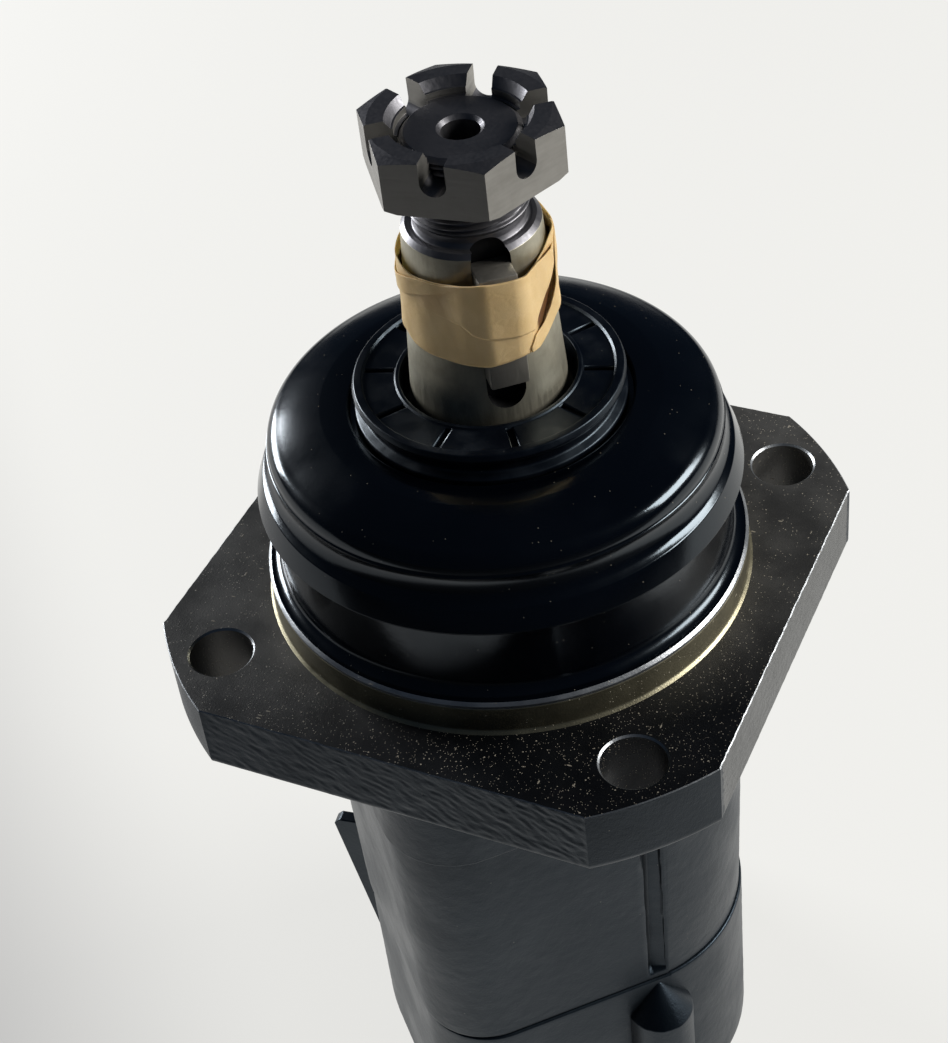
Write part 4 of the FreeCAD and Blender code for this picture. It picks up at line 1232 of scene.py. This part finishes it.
    def fin(self) -> None:
        """Builds the thin casting fin below the joint."""
        top = self.joint - 0.6
        outline = [(47.5, top), (65.7, top), (67.7, top - 2.0), (57.4, top - 60.0), (47.5, top - 60.0)]
        work = Workpiece()
        work.prism([Vector((r, -self.fin_w / 2.0, z)) for r, z in outline], (0.0, self.fin_w, 0.0))
        bmesh.ops.rotate(work.bm, cent=(0, 0, 0), verts=work.bm.verts,
                         matrix=Matrix.Rotation(math.radians(self.fin_azimuth), 3, "Z"))
        piece = work.object("casting_fin", Finish.CAST)
        soften(piece, 0.5, 3)
        keep(piece, "housing", [REAR])


@dataclass
class PortBoss:
    """Round threaded port that stands out of a face of the casting.

    The casting's wall isn't opened behind it, so the wall shows a little way into the port and hides the thread.
    """

    name: str
    azimuth: float
    offset: float
    z: float
    face: float = 61.1
    hole_r: float = 10.2
    depth: float = 15.0
    face_r: float = 15.0
    gallery_r: float = 4.5
    inside: float = 41.0
    pitch: float = 1.8

    def build(self) -> None:
        """Builds the boss as a tube with a threaded mouth and a gallery behind it."""
        mouth = self.face - self.depth
        profile = rounded([(self.gallery_r, self.inside), (self.face_r, self.inside),
                           (self.face_r, self.face, 1.2), (self.hole_r + 1.2, self.face, 0.2),
                           (self.hole_r, self.face - 1.2)], 5)
        bore = steps_between(self.face - 1.4, mouth, self.pitch / 10.0)
        profile += [(self.hole_r, x) for x in bore]
        profile += [(self.gallery_r, mouth)]
        where = (Matrix.Rotation(math.radians(self.azimuth), 4, "Z")
                 @ Matrix.Translation((0.0, self.offset, self.z))
                 @ Matrix.Rotation(math.radians(90.0), 4, "Y"))
        work = Workpiece()
        verts = work.spin(profile, 96)
        for vert in verts:
            radius = math.hypot(vert.co.x, vert.co.y)
            if mouth + 0.1 < vert.co.z < self.face - 1.3 and abs(radius - self.hole_r) < 0.01:
                phase = (vert.co.z / self.pitch - math.atan2(vert.co.y, vert.co.x) / (2.0 * math.pi)) % 1.0
                depth = 0.75 * clamp(2.0 - abs(phase - 0.5) * 4.6) * ease(mouth, mouth + 1.5, vert.co.z)
                vert.co.xy *= (radius + depth) / radius
        bmesh.ops.transform(work.bm, matrix=where, verts=work.bm.verts)
        keep(work.object(self.name, Finish.CAST, 34.0), "housing", [HOUSING])


@dataclass
class Wiper:
    """Outer rubber seal with two lips, a flat ring of panels and an inner lip."""

    seat: float = 54.5
    height: float = 9.6
    outer_r: float = 34.3
    panel_r: float = 31.3
    inner_r: float = 22.3
    groove_w: float = 1.8
    groove_depth: float = 1.2
    grooves: int = 10
    first_groove: float = 18.0

    def build(self) -> None:
        """Builds the seal and cuts its radial grooves."""
        low = self.seat
        top = low + self.height
        panel = top - 0.7
        outer = self.outer_r
        ring = rounded([
            (24.5, low - 4.0), (27.4, low - 4.0, 0.4), (27.4, low, 0.3), (outer - 0.9, low, 0.4),
            (outer, low + 0.9, 0.8), (outer, low + 2.2, 0.7), (outer - 2.2, low + 3.2, 0.9),
            (outer - 2.2, top - 3.6, 0.9), (outer - 0.5, top - 2.7, 0.5), (outer, top - 1.6, 0.7),
            (outer - 0.6, top, 0.5), (self.panel_r + 0.5, top, 0.25), (self.panel_r, panel, 0.2),
            (self.inner_r + 1.2, panel, 0.25), (self.inner_r + 0.9, panel + 0.45, 0.15),
            (self.inner_r, panel + 0.45, 0.2), (21.1, low + 1.5), (21.1, low - 1.0)], 4)
        work = Workpiece()
        work.spin(ring, 288)
        piece = work.object("wiper_seal", Finish.RUBBER, 50.0)
        cutters = Workpiece()
        for k in range(self.grooves):
            length = self.panel_r - self.inner_r - 1.5
            middle = (self.panel_r + self.inner_r + 1.3) / 2.0
            azimuth = self.first_groove + 360.0 * k / self.grooves
            where = (Matrix.Rotation(math.radians(azimuth), 4, "Z")
                     @ Matrix.Translation((middle, 0.0, panel + 0.5 - self.groove_depth / 2.0))
                     @ Matrix.Diagonal((length, self.groove_w, self.groove_depth + 1.0, 1.0)))
            bmesh.ops.create_cube(cutters.bm, size=1.0, matrix=where)
        carve(piece, [cutters.object("groove_cutter", Finish.RUBBER)])
        keep(piece, "housing", ["dust_seal"])


@dataclass
class Shaft:
    """Tapered shaft with its keyway, undercut and thread."""

    taper_low: float = 57.0
    taper_top: float = 108.2
    small_r: float = 16.8
    journal_r: float = 21.0
    link_bore_r: float = 16.0
    end: float = 133.5
    thread_r: float = 14.285
    thread_pitch: float = 1.814
    key_azimuth: float = -50.0
    key_w: float = 9.525
    key_low: float = 75.2
    key_l: float = 30.2
    keyway_low: float = 66.0
    keyway_past: float = 3.4

    def taper_r(self, z: float) -> float:
        """Radius of the taper at a height."""
        return self.small_r + (self.taper_top - z) / 16.0

    def along_key(self) -> Matrix:
        """Finds the key's place on the taper.

        Returns:
            Frame at the middle of the key, x outwards and z along it.
        """
        mid = self.key_low + self.key_l / 2.0
        return (Matrix.Rotation(math.radians(self.key_azimuth), 4, "Z")
                @ Matrix.Translation((self.taper_r(mid), 0.0, mid))
                @ Matrix.Rotation(-math.atan(1.0 / 16.0), 4, "Y"))

    def build(self) -> None:
        """Builds the shaft, the key and the bore that the drive link enters."""
        profile = rounded([
            (self.link_bore_r, -66.0), (25.0, -66.0), (25.0, -38.0), (27.0, -38.0, 0.4), (27.0, 20.0, 0.4),
            (22.5, 20.0), (22.5, 40.0), (self.journal_r, 40.7), (self.journal_r, 56.2),
            (self.taper_r(self.taper_low), self.taper_low), (self.small_r, self.taper_top, 0.2),
            (self.small_r - 1.2, 109.4, 0.15), (14.6, 109.4, 0.3), (13.9, 109.1, 0.5), (13.2, 110.6, 1.0),
            (13.2, 112.2, 0.9), (self.thread_r - 0.1, 113.3)], 5)
        profile += [(self.thread_r, z) for z in steps_between(113.4, 132.2, 0.15)]
        profile += rounded([(self.thread_r, 132.3), (self.thread_r - 1.2, self.end, 0.2), (5.6, self.end, 0.3),
                            (4.65, self.end - 1.0), (4.65, 117.5), (0.0, 113.0)], 4)
        profile += [(0.0, -18.0), (self.link_bore_r, -18.0)]
        work = Workpiece()
        for vert in work.spin(profile, 192):
            radius = math.hypot(vert.co.x, vert.co.y)
            if 113.35 < vert.co.z < 132.25 and radius > 13.0:
                turn = math.atan2(vert.co.y, vert.co.x) / (2.0 * math.pi)
                phase = (vert.co.z / self.thread_pitch - turn) % 1.0
                depth = 0.95 * clamp(abs(phase - 0.5) * 3.2 - 0.25)
                depth *= ease(113.3, 114.2, vert.co.z) * ease(132.3, 131.6, vert.co.z)
                vert.co.xy *= (radius - depth) / radius
        piece = work.object("keyed_shaft", Finish.SHAFT, 32.0)
        carve(piece, [self.keyway_cutter()])
        self.shade_keyway(piece)
        soften(piece, 0.22, 2, 50.0)
        keep(piece, "shaft", ["output_shaft"])
        self.key()

    def shade_keyway(self, piece: bpy.types.Object) -> None:
        """Gives the keyway and the thread dark finishes that are painted shade.

        Args:
            piece: The shaft.
        """
        piece.data.materials.append(Finish.DARK.material())
        piece.data.materials.append(Finish.SHADE_STEEL.material())
        home = self.along_key().inverted()
        width, low, high = self.keyway_span()
        for face in piece.data.polygons:
            # Painted shade: the undercut and thread under the nut take the darker steel.
            if face.center.z > (self.taper_top + 0.2) * MM:
                face.material_index = 2
            # Painted shade in the keyway: its faces take the black finish.
            spot = home @ (face.center / MM)
            over = max(spot.z - high, low - spot.z, 0.0)
            if -self.key_w / 2.0 - 0.2 < spot.x < 0.1 and math.hypot(spot.y, over) < width / 2.0 + 0.03:
                face.material_index = 1

    def keyway_span(self) -> tuple[float, float, float]:
        """Measures the keyway along the key's frame.

        Returns:
            Its width and the centres of its two round ends.
        """
        width = self.key_w + 0.12
        mid = self.key_low + self.key_l / 2.0
        return width, self.keyway_low + width / 2.0 - mid, self.taper_top + self.keyway_past - width / 2.0 - mid

    def keyway_cutter(self) -> bpy.types.Object:
        """Builds the round-ended bar that cuts the keyway.

        Returns:
            The bar.
        """
        width, low, high = self.keyway_span()
        points = arc(width / 2.0, high, range(0, 181, 6)) + arc(width / 2.0, low, range(180, 361, 6))
        work = Workpiece()
        work.prism([Vector((-self.key_w / 2.0 - 0.03, y, z)) for y, z in points], (12.0, 0.0, 0.0))
        bmesh.ops.transform(work.bm, matrix=self.along_key(), verts=work.bm.verts)
        return work.object("keyway_cutter", Finish.SHAFT)

    def key(self) -> None:
        """Builds the square key with broken edges."""
        work = Workpiece()
        bmesh.ops.create_cube(work.bm, size=1.0,
                              matrix=self.along_key() @ Matrix.Diagonal((self.key_w, self.key_w, self.key_l, 1.0)))
        bmesh.ops.bevel(work.bm, geom=list(work.bm.edges), offset=0.55, segments=2, affect="EDGES", profile=0.5,
                        material=-1, clamp_overlap=True)
        keep(work.object("square_key", Finish.KEY, 40.0), "shaft", ["shaft_key"])


@dataclass
class Nut:
    """Slotted hexagon nut."""

    across: float = 42.9
    low: float = 122.9
    height: float = 14.1
    turn: float = 7.3
    slot_w: float = 6.3
    slot_h: float = 8.4
    slot_start: float = 8.0
    bore_r: float = 14.35
    ring_r: float = 15.7
    chamfer: float = 2.1

    def build(self) -> None:
        """Builds the nut from a hexagon cut by a turned form, a stepped bore and six slots."""
        top = self.low + self.height
        corner = self.across / math.sqrt(3.0)
        work = Workpiece()
        work.prism([turn_of(self.turn + 60.0 * k, corner, self.low) for k in range(6)], (0.0, 0.0, self.height))
        piece = work.object("castle_nut", Finish.NUT, 30.0)
        form = Workpiece()
        form.spin([(0.0, self.low - 1.0), (corner - 2.2, self.low - 1.0), (corner - 1.4, self.low),
                   (corner + 1.0, self.low + 1.3), (corner + 1.0, top - self.chamfer + 0.5),
                   (self.across / 2.0 - 0.3, top), (self.across / 2.0 - 0.3, top + 1.0), (0.0, top + 1.0)], 128)
        carve(piece, [form.object("nut_form", Finish.NUT)], "INTERSECT")
        bore = Workpiece()
        bore.spin([(0.0, self.low - 1.0), (self.bore_r + 1.4, self.low - 1.0), (self.bore_r + 0.6, self.low + 0.6),
                   (self.bore_r, self.low + 1.4), (self.bore_r, top - 4.4), (self.ring_r - 0.5, top - 4.2),
                   (self.ring_r - 0.5, top - 2.4), (self.ring_r, top - 2.3), (self.ring_r + 1.5, top + 0.1),
                   (self.ring_r + 1.5, top + 1.0), (0.0, top + 1.0)], 128)
        carve(piece, [bore.object("nut_bore", Finish.NUT)])
        cutters = Workpiece()
        floor = top - self.slot_h + self.slot_w / 2.0
        half = self.slot_w / 2.0
        for k in range(6):
            slot = Workpiece()
            points = arc(half, floor, range(180, 361, 12)) + [(half * 0.96, top + 2.0), (-half * 0.96, top + 2.0)]
            slot.prism([Vector((self.slot_start, y, z)) for y, z in points], (corner + 2.0, 0.0, 0.0))
            cutters.add(slot, Matrix.Rotation(math.radians(self.turn + 30.0 + 60.0 * k), 4, "Z"))
        carve(piece, [cutters.object("slot_cutters", Finish.NUT)])
        piece.data.materials.append(Finish.SHADE_STEEL.material())
        # Upward faces take the darker steel, painted shade.
        for face in piece.data.polygons:
            face.material_index = int(face.normal.z > 0.35)
        soften(piece, 0.18, 2, 25.0)
        keep(piece, "shaft", ["slotted_nut"])


@dataclass
class Tape:
    """Crinkled paper tape over the key: a full turn, a front lap on it and a slanted end."""

    shaft: Shaft
    thick: float = 0.28
    climb: float = 0.7
    rows: int = 36
    step: float = 1.2
    turn_top: Profile = ((-180.0, 103.2), (-137.0, 102.6), (-118.0, 101.6), (-107.0, 101.8), (-83.0, 102.1),
        (-62.0, 101.9), (-33.0, 101.2), (-17.0, 102.2), (0.0, 103.0), (17.0, 104.4), (45.0, 104.8), (80.0, 105.0),
        (120.0, 104.6), (180.0, 103.2))
    turn_low: Profile = ((-180.0, 82.5), (-133.0, 82.9), (-123.0, 81.6), (-107.0, 81.2), (-91.0, 81.0), (-65.0, 79.6),
        (-60.0, 79.4), (-38.0, 80.5), (-32.0, 80.7), (-23.0, 82.4), (-11.0, 85.0), (7.0, 87.6), (60.0, 87.5),
        (120.0, 84.0), (180.0, 82.5))
    flap_top: Profile = ((-180.0, 98.8), (-152.0, 97.7), (-140.0, 98.8), (-127.0, 100.2), (-112.0, 101.5),
        (-74.0, 102.0))
    flap_low: Profile = ((-180.0, 91.0), (-150.0, 92.6), (-130.0, 94.9), (-116.0, 96.9), (-96.0, 99.2),
        (-74.0, 101.2))
    lap_top: Profile = ((-120.0, 97.2), (-112.0, 98.4), (-96.0, 100.6), (-84.0, 102.1), (-62.0, 102.0),
        (-33.0, 101.4), (-17.0, 102.7), (0.0, 102.8), (12.0, 102.0), (16.0, 101.6))
    lap_low: Profile = ((-120.0, 95.6), (-104.0, 94.0), (-88.0, 92.7), (-76.0, 91.6), (-68.0, 88.6), (-61.0, 87.4),
        (-42.0, 86.2), (-31.0, 86.2), (-24.0, 89.6), (-12.0, 93.5), (-2.0, 95.8), (8.0, 98.2), (16.0, 101.2))
    end_top: Profile = ((-36.0, 82.0), (-31.0, 84.8), (-24.0, 85.8), (-18.6, 86.7), (-9.0, 89.3), (-0.5, 92.6),
        (12.0, 97.2), (20.0, 102.0), (34.0, 104.8), (70.0, 106.0), (100.0, 105.2))
    end_low: Profile = ((-36.0, 80.7), (-28.0, 81.0), (-18.0, 82.9), (-5.0, 85.4), (6.8, 87.1), (13.0, 89.3),
        (30.0, 91.0), (70.0, 93.0), (100.0, 94.0))

    def radius(self, azimuth: float, z: float, off: float) -> float:
        """Radius of the tape's line round the shaft and over the key's edges.

        Args:
            azimuth: Azimuth in degrees.
            z: Height.
            off: Distance from the steel.

        Returns:
            The radius.
        """
        r = self.shaft.taper_r(z) + off
        half = self.shaft.key_w / 2.0 + off * 0.6
        reach = self.shaft.taper_r(z) + self.shaft.key_w / 2.0 + off
        turn = abs((azimuth - self.shaft.key_azimuth + 180.0) % 360.0 - 180.0)
        away = math.degrees(math.atan2(half, reach))
        touch = away + math.degrees(math.acos(r / math.hypot(reach, half)))
        if turn < away:
            return reach / math.cos(math.radians(turn))
        if turn < touch:
            return r / math.cos(math.radians(touch - turn))
        return r

    def eased(self, azimuth: float, z: float, off: float) -> float:
        """Radius with the key's edges rounded off, as stretched paper goes over them."""
        return sum(self.radius(azimuth + turn, z, off) for turn in (-5.0, -2.5, 0.0, 2.5, 5.0)) / 5.0

    def crinkle(self, azimuth: float, z: float) -> float:
        """Small waves of the paper, drawn in at the key's left edge.

        Args:
            azimuth: Azimuth in degrees.
            z: Height.

        Returns:
            The wave's height, outwards.
        """
        broad = 0.28 * noise.noise(Vector((azimuth / 19.0, z / 8.0, 2.0)))
        fold = 0.05 * noise.noise(Vector((azimuth / 7.0 + z / 6.0, z / 5.0, 6.0)))
        dent = 0.30 * math.exp(-((azimuth + 67.0) / 5.0) ** 2)
        return broad + fold - dent

    def lean(self, azimuth: float, z: float) -> float:
        """How far the upper edge stands off the steel, at the left and at the right.

        Args:
            azimuth: Azimuth in degrees.
            z: Height.

        Returns:
            The distance.
        """
        left = 0.8 * math.exp(-((azimuth + 140.0) / 22.0) ** 2)
        right = 0.9 * math.exp(-((azimuth - 26.0) / 16.0) ** 2)
        return (left + right) * ease(90.0, 99.0, z)

    def opening_shadow(self, azimuth: float, z: float) -> float:
        """Share of the painted shadow, a dark brown, in the opening between the lap and the slanted end.

        Args:
            azimuth: Azimuth in degrees.
            z: Height.

        Returns:
            The share, from 0 to 1.
        """
        low = between(self.end_top, azimuth) - 0.6
        high = between(self.lap_low, azimuth) + 0.6
        return ease(-28.0, -24.0, azimuth) * ease(18.0, 14.0, azimuth) if low < z < high else 0.0

    def turn_off(self, azimuth: float, z: float) -> float:
        """Distance of the full turn from the steel."""
        return 0.6 + self.lean(azimuth, z)

    def flap_off(self, azimuth: float, z: float) -> float:
        """Distance of the folded left flap."""
        return 0.95 + 1.2 * self.lean(azimuth, z)

    def lap_off(self, azimuth: float, _: float) -> float:
        """Distance of the front lap, which lifts off at the right."""
        lifted = 0.62 + 0.34 * ease(-96.0, -74.0, azimuth) + 0.9 * ease(-28.0, 4.0, azimuth)
        return lifted - 0.4 * ease(6.0, 14.0, azimuth)

    def end_off(self, azimuth: float, z: float) -> float:
        """Distance of the slanted end."""
        lifted = 1.0 + 1.2 * ease(-36.0, 6.0, azimuth) - 1.0 * ease(2.0, 18.0, azimuth)
        return lifted + 0.6 * self.lean(azimuth, z)

    def strip(self, work: Workpiece, ends: Point, edges: tuple[Profile, Profile],
              off: Callable[[float, float], float]) -> None:
        """Lays one layer between two edges given by azimuth.

        Args:
            work: Mesh that takes the layer.
            ends: First and last azimuth.
            edges: Tables of the upper and lower edge.
            off: Gives the distance from the steel by azimuth and height.
        """
        azimuths = steps_between(*ends, self.step)
        closed = ends[1] - ends[0] >= 360.0
        if closed:
            azimuths.pop()

        def spot(k: int, share: float) -> Vector:
            """Point of the layer.

            Args:
                k: Number of the azimuth.
                share: Share of the width, from the upper edge.

            Returns:
                The point.
            """
            azimuth = azimuths[k]
            high, low = (between(edge, azimuth) for edge in edges)
            z = high + (low - high) * share
            away = off(azimuth, z)
            r = self.eased(azimuth, z, away + self.crinkle(azimuth, z))
            return turn_of(azimuth, r, z + self.climb * (r - self.shaft.taper_r(z) - away))

        first = work.path([spot(k, 0.0) for k in range(len(azimuths))], closed)[1]
        work.rows(first, [k / self.rows for k in range(1, self.rows + 1)], spot)

    def build(self) -> None:
        """Builds the layers as one sheet."""
        work = Workpiece()
        shade = work.bm.verts.layers.float.new("fold")
        self.strip(work, (-180.0, 180.0), (self.turn_top, self.turn_low), self.turn_off)
        # Painted shadow in the opening, stored in the fold attribute of the full turn.
        for vert in work.bm.verts:
            vert[shade] = self.opening_shadow(math.degrees(math.atan2(vert.co.y, vert.co.x)), vert.co.z)
        self.strip(work, (-180.0, -74.0), (self.flap_top, self.flap_low), self.flap_off)
        self.strip(work, (-120.0, 16.0), (self.lap_top, self.lap_low), self.lap_off)
        self.strip(work, (-36.0, 100.0), (self.end_top, self.end_low), self.end_off)
        piece = work.object("paper_tape", Finish.TAPE, 60.0)
        shell = piece.modifiers.new("paper", "SOLIDIFY")
        shell.thickness = self.thick * MM
        shell.offset = 1.0
        area = sum(face.area for face in piece.data.polygons)
        LOG.info("paper_tape: %.0f mm2", area * 1e6)
        keep(piece, "shaft", ["masking_tape"])


class Inside:
    """CAD nodes that keep their shape and take a finish."""

    BARE = {
        Finish.BEARING: ("front_bearing_cup", "front_bearing_cone", "front_bearing_rollers", "rear_bearing_cup",
                         "rear_bearing_cone", "rear_bearing_rollers", "dowel_pins",
                         *(f"geroler_roller_{k}" for k in range(1, 8))),
        Finish.PRESSED: ("front_bearing_cage", "rear_bearing_cage", "bearing_lock_ring"),
        Finish.GROUND: ("valve_sleeve", "valve_spool", "drive_link", "distributor_plate", "geroler_ring", "rotor",
                        "drive_spacer", "end_plate"),
        Finish.DARK: ("housing_screws", "gallery_plug"),
        Finish.RUBBER: ("shaft_seal", "joint_seal_ring"),
    }

    def dress(self) -> None:
        """Gives each node its finish."""
        for finish, names in self.BARE.items():
            for name in names:
                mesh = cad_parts[name].data
                mesh.materials.clear()
                mesh.materials.append(finish.material())
                LOG.info("%s: %s", name, finish.recipe.name)


@dataclass
class Studio:
    """Camera, lamps, floor and room."""

    eye: Point = (0.198838, -0.376363, 0.396192)
    right: Point = (0.9092015, 0.4052342, -0.0955921)
    up: Point = (-0.2086542, 0.6421494, 0.7376365)
    forward: Point = (-0.3603000, 0.6507145, -0.6683970)
    lens: float = 75.08
    azimuth: float = CAMERA_AZIMUTH
    floor_z: float = -0.190
    floor_reach: Point = (3.0, 1.3)
    mirror_reach: Point = (0.20, 0.30)
    floor_glow: float = 0.80
    mirror_glow: float = 0.92
    dusk_azimuth: float = -135.0
    dusk_reach: Point = (0.08, 0.24)

    def camera(self) -> None:
        """Sets the camera where the photograph was taken."""
        data = bpy.data.cameras.new("camera")
        data.lens = self.lens
        data.sensor_width = 36.0
        data.clip_start = 0.01
        view = bpy.data.objects.new("camera", data)
        turn = Matrix((self.right, self.up, tuple(-c for c in self.forward))).transposed()
        view.matrix_world = Matrix.Translation(self.eye) @ turn.to_4x4()
        bpy.context.scene.collection.objects.link(view)
        bpy.context.scene.camera = view

    def lamp(self, name: str, azimuth: float, elevation: float, distance: float, size: Point, watts: float,
             colour: Point) -> None:
        """Adds a soft box that faces the motor.

        Args:
            name: The lamp's name.
            azimuth: Azimuth in degrees.
            elevation: Angle above the mounting face.
            distance: Distance in metres.
            size: Width and height in metres.
            watts: Power.
            colour: Colour.
        """
        data = bpy.data.lights.new(name, "AREA")
        data.shape = "RECTANGLE"
        data.size, data.size_y = size
        data.energy = watts
        data.color = colour
        box = bpy.data.objects.new(name, data)
        level = math.cos(math.radians(elevation))
        spot = turn_of(azimuth, distance * level, distance * math.sin(math.radians(elevation)))
        box.matrix_world = Matrix.Translation(spot) @ (spot.normalized()).to_track_quat("Z", "Y").to_matrix().to_4x4()
        bpy.context.scene.collection.objects.link(box)

    def floor(self) -> None:
        """Lays a wide pale floor under the motor."""
        mesh = bpy.data.meshes.new("floor")
        bm = bmesh.new()
        far, near = self.floor_reach
        where = (Matrix.Rotation(math.radians(self.azimuth), 4, "Z")
                 @ Matrix.Translation(((near - far) / 2.0, 0.0, self.floor_z))
                 @ Matrix.Diagonal(((near + far) / 2.0, far, 1.0, 1.0)))
        bmesh.ops.create_grid(bm, x_segments=4, y_segments=4, size=1.0, matrix=where)
        bm.to_mesh(mesh)
        bm.free()
        sheet = bpy.data.objects.new("floor", mesh)
        bpy.context.scene.collection.objects.link(sheet)
        bench = Bench("floor_card", Roughness=0.9, Specular_IOR_Level=0.1)
        bench.feed(Base_Color=bench.blend(bench.grain(400.0, 1.0), (0.76, 0.755, 0.74), (0.80, 0.795, 0.78)))
        self.show_pale(bench)
        mesh.materials.append(bench.material)

    def show_pale(self, bench: Bench) -> None:
        """Mixes a pale glow into the floor for rays from the camera, mirrors and glass alone.

        The glow carries painted shade: it is dimmer at the front left, and towards the camera, out of the picture, it
        turns to a dark painted patch that reflections see.

        Args:
            bench: The floor's bench.
        """
        rays = bench.node("ShaderNodeLightPath", {}, {}, "Is Camera Ray")
        glossy, through = (Wire(bench, rays.socket.node.outputs[f"Is {kind} Ray"])
                           for kind in ("Glossy", "Transmission"))
        seen = bench.node("ShaderNodeMath", {"operation": "ADD", "use_clamp": True}, {0: rays + glossy, 1: through})
        # Painted shade on the floor towards the front left.
        tone = bench.blend(bench.ramp(bench.toward(self.dusk_azimuth), *self.dusk_reach),
                           (0.90, 0.895, 0.865), (0.47, 0.465, 0.46))
        near = bench.toward(self.azimuth)
        # Dark painted patch near the camera, seen in reflections as painted shade.
        tone = bench.blend(bench.ramp(near, *self.mirror_reach), tone, (0.004, 0.006, 0.010))
        glow = bench.node("ShaderNodeEmission", {}, {"Color": tone})
        share = seen * bench.ramp(near, *self.mirror_reach, self.floor_glow, self.mirror_glow)
        mix = bench.node("ShaderNodeMixShader", {}, {0: share, 1: Wire(bench, bench.shader.outputs[0]), 2: glow})
        bench.tree.links.new(mix.socket, bench.tree.nodes["Material Output"].inputs["Surface"])

    def world(self) -> None:
        """Dim bluish room."""
        world = bpy.data.worlds.new("room")
        bpy.context.scene.world = world
        world.use_nodes = True
        back = world.node_tree.nodes["Background"]
        back.inputs["Color"].default_value = (0.45, 0.65, 1.0, 1.0)
        back.inputs["Strength"].default_value = 0.05

    def build(self) -> None:
        """Builds the studio."""
        self.camera()
        self.floor()
        self.world()
        self.lamp("right_window", azimuth=26.0, elevation=27.0, distance=1.5, size=(0.8, 0.55), watts=27.0,
                  colour=(1.0, 0.985, 0.95))
        self.lamp("left_window", azimuth=165.0, elevation=13.0, distance=1.5, size=(0.6, 0.5), watts=25.0,
                  colour=(0.97, 0.985, 1.0))


def main() -> None:
    """Builds the motor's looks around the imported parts."""
    logging.basicConfig(level=logging.INFO, format="%(message)s")
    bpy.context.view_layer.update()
    view = bpy.context.scene.view_settings
    view.view_transform = "Standard"
    Studio().build()
    Inside().dress()
    Nose().build()
    Flange().build()
    casting = Casting()
    casting.front_housing()
    casting.rear_housing()
    for port in (PortBoss("port_a", 135.0, -17.0, -86.0), PortBoss("port_b", 135.0, 17.0, -106.0),
                 PortBoss("drain_port", 45.0, 0.0, -66.0, face=55.9, hole_r=6.45, depth=12.0, face_r=11.0,
                          gallery_r=1.8, inside=42.5)):
        port.build()
    Wiper().build()
    shaft = Shaft()
    shaft.build()
    Nut().build()
    Tape(shaft).build()


if __name__ == "__main__":
    main()
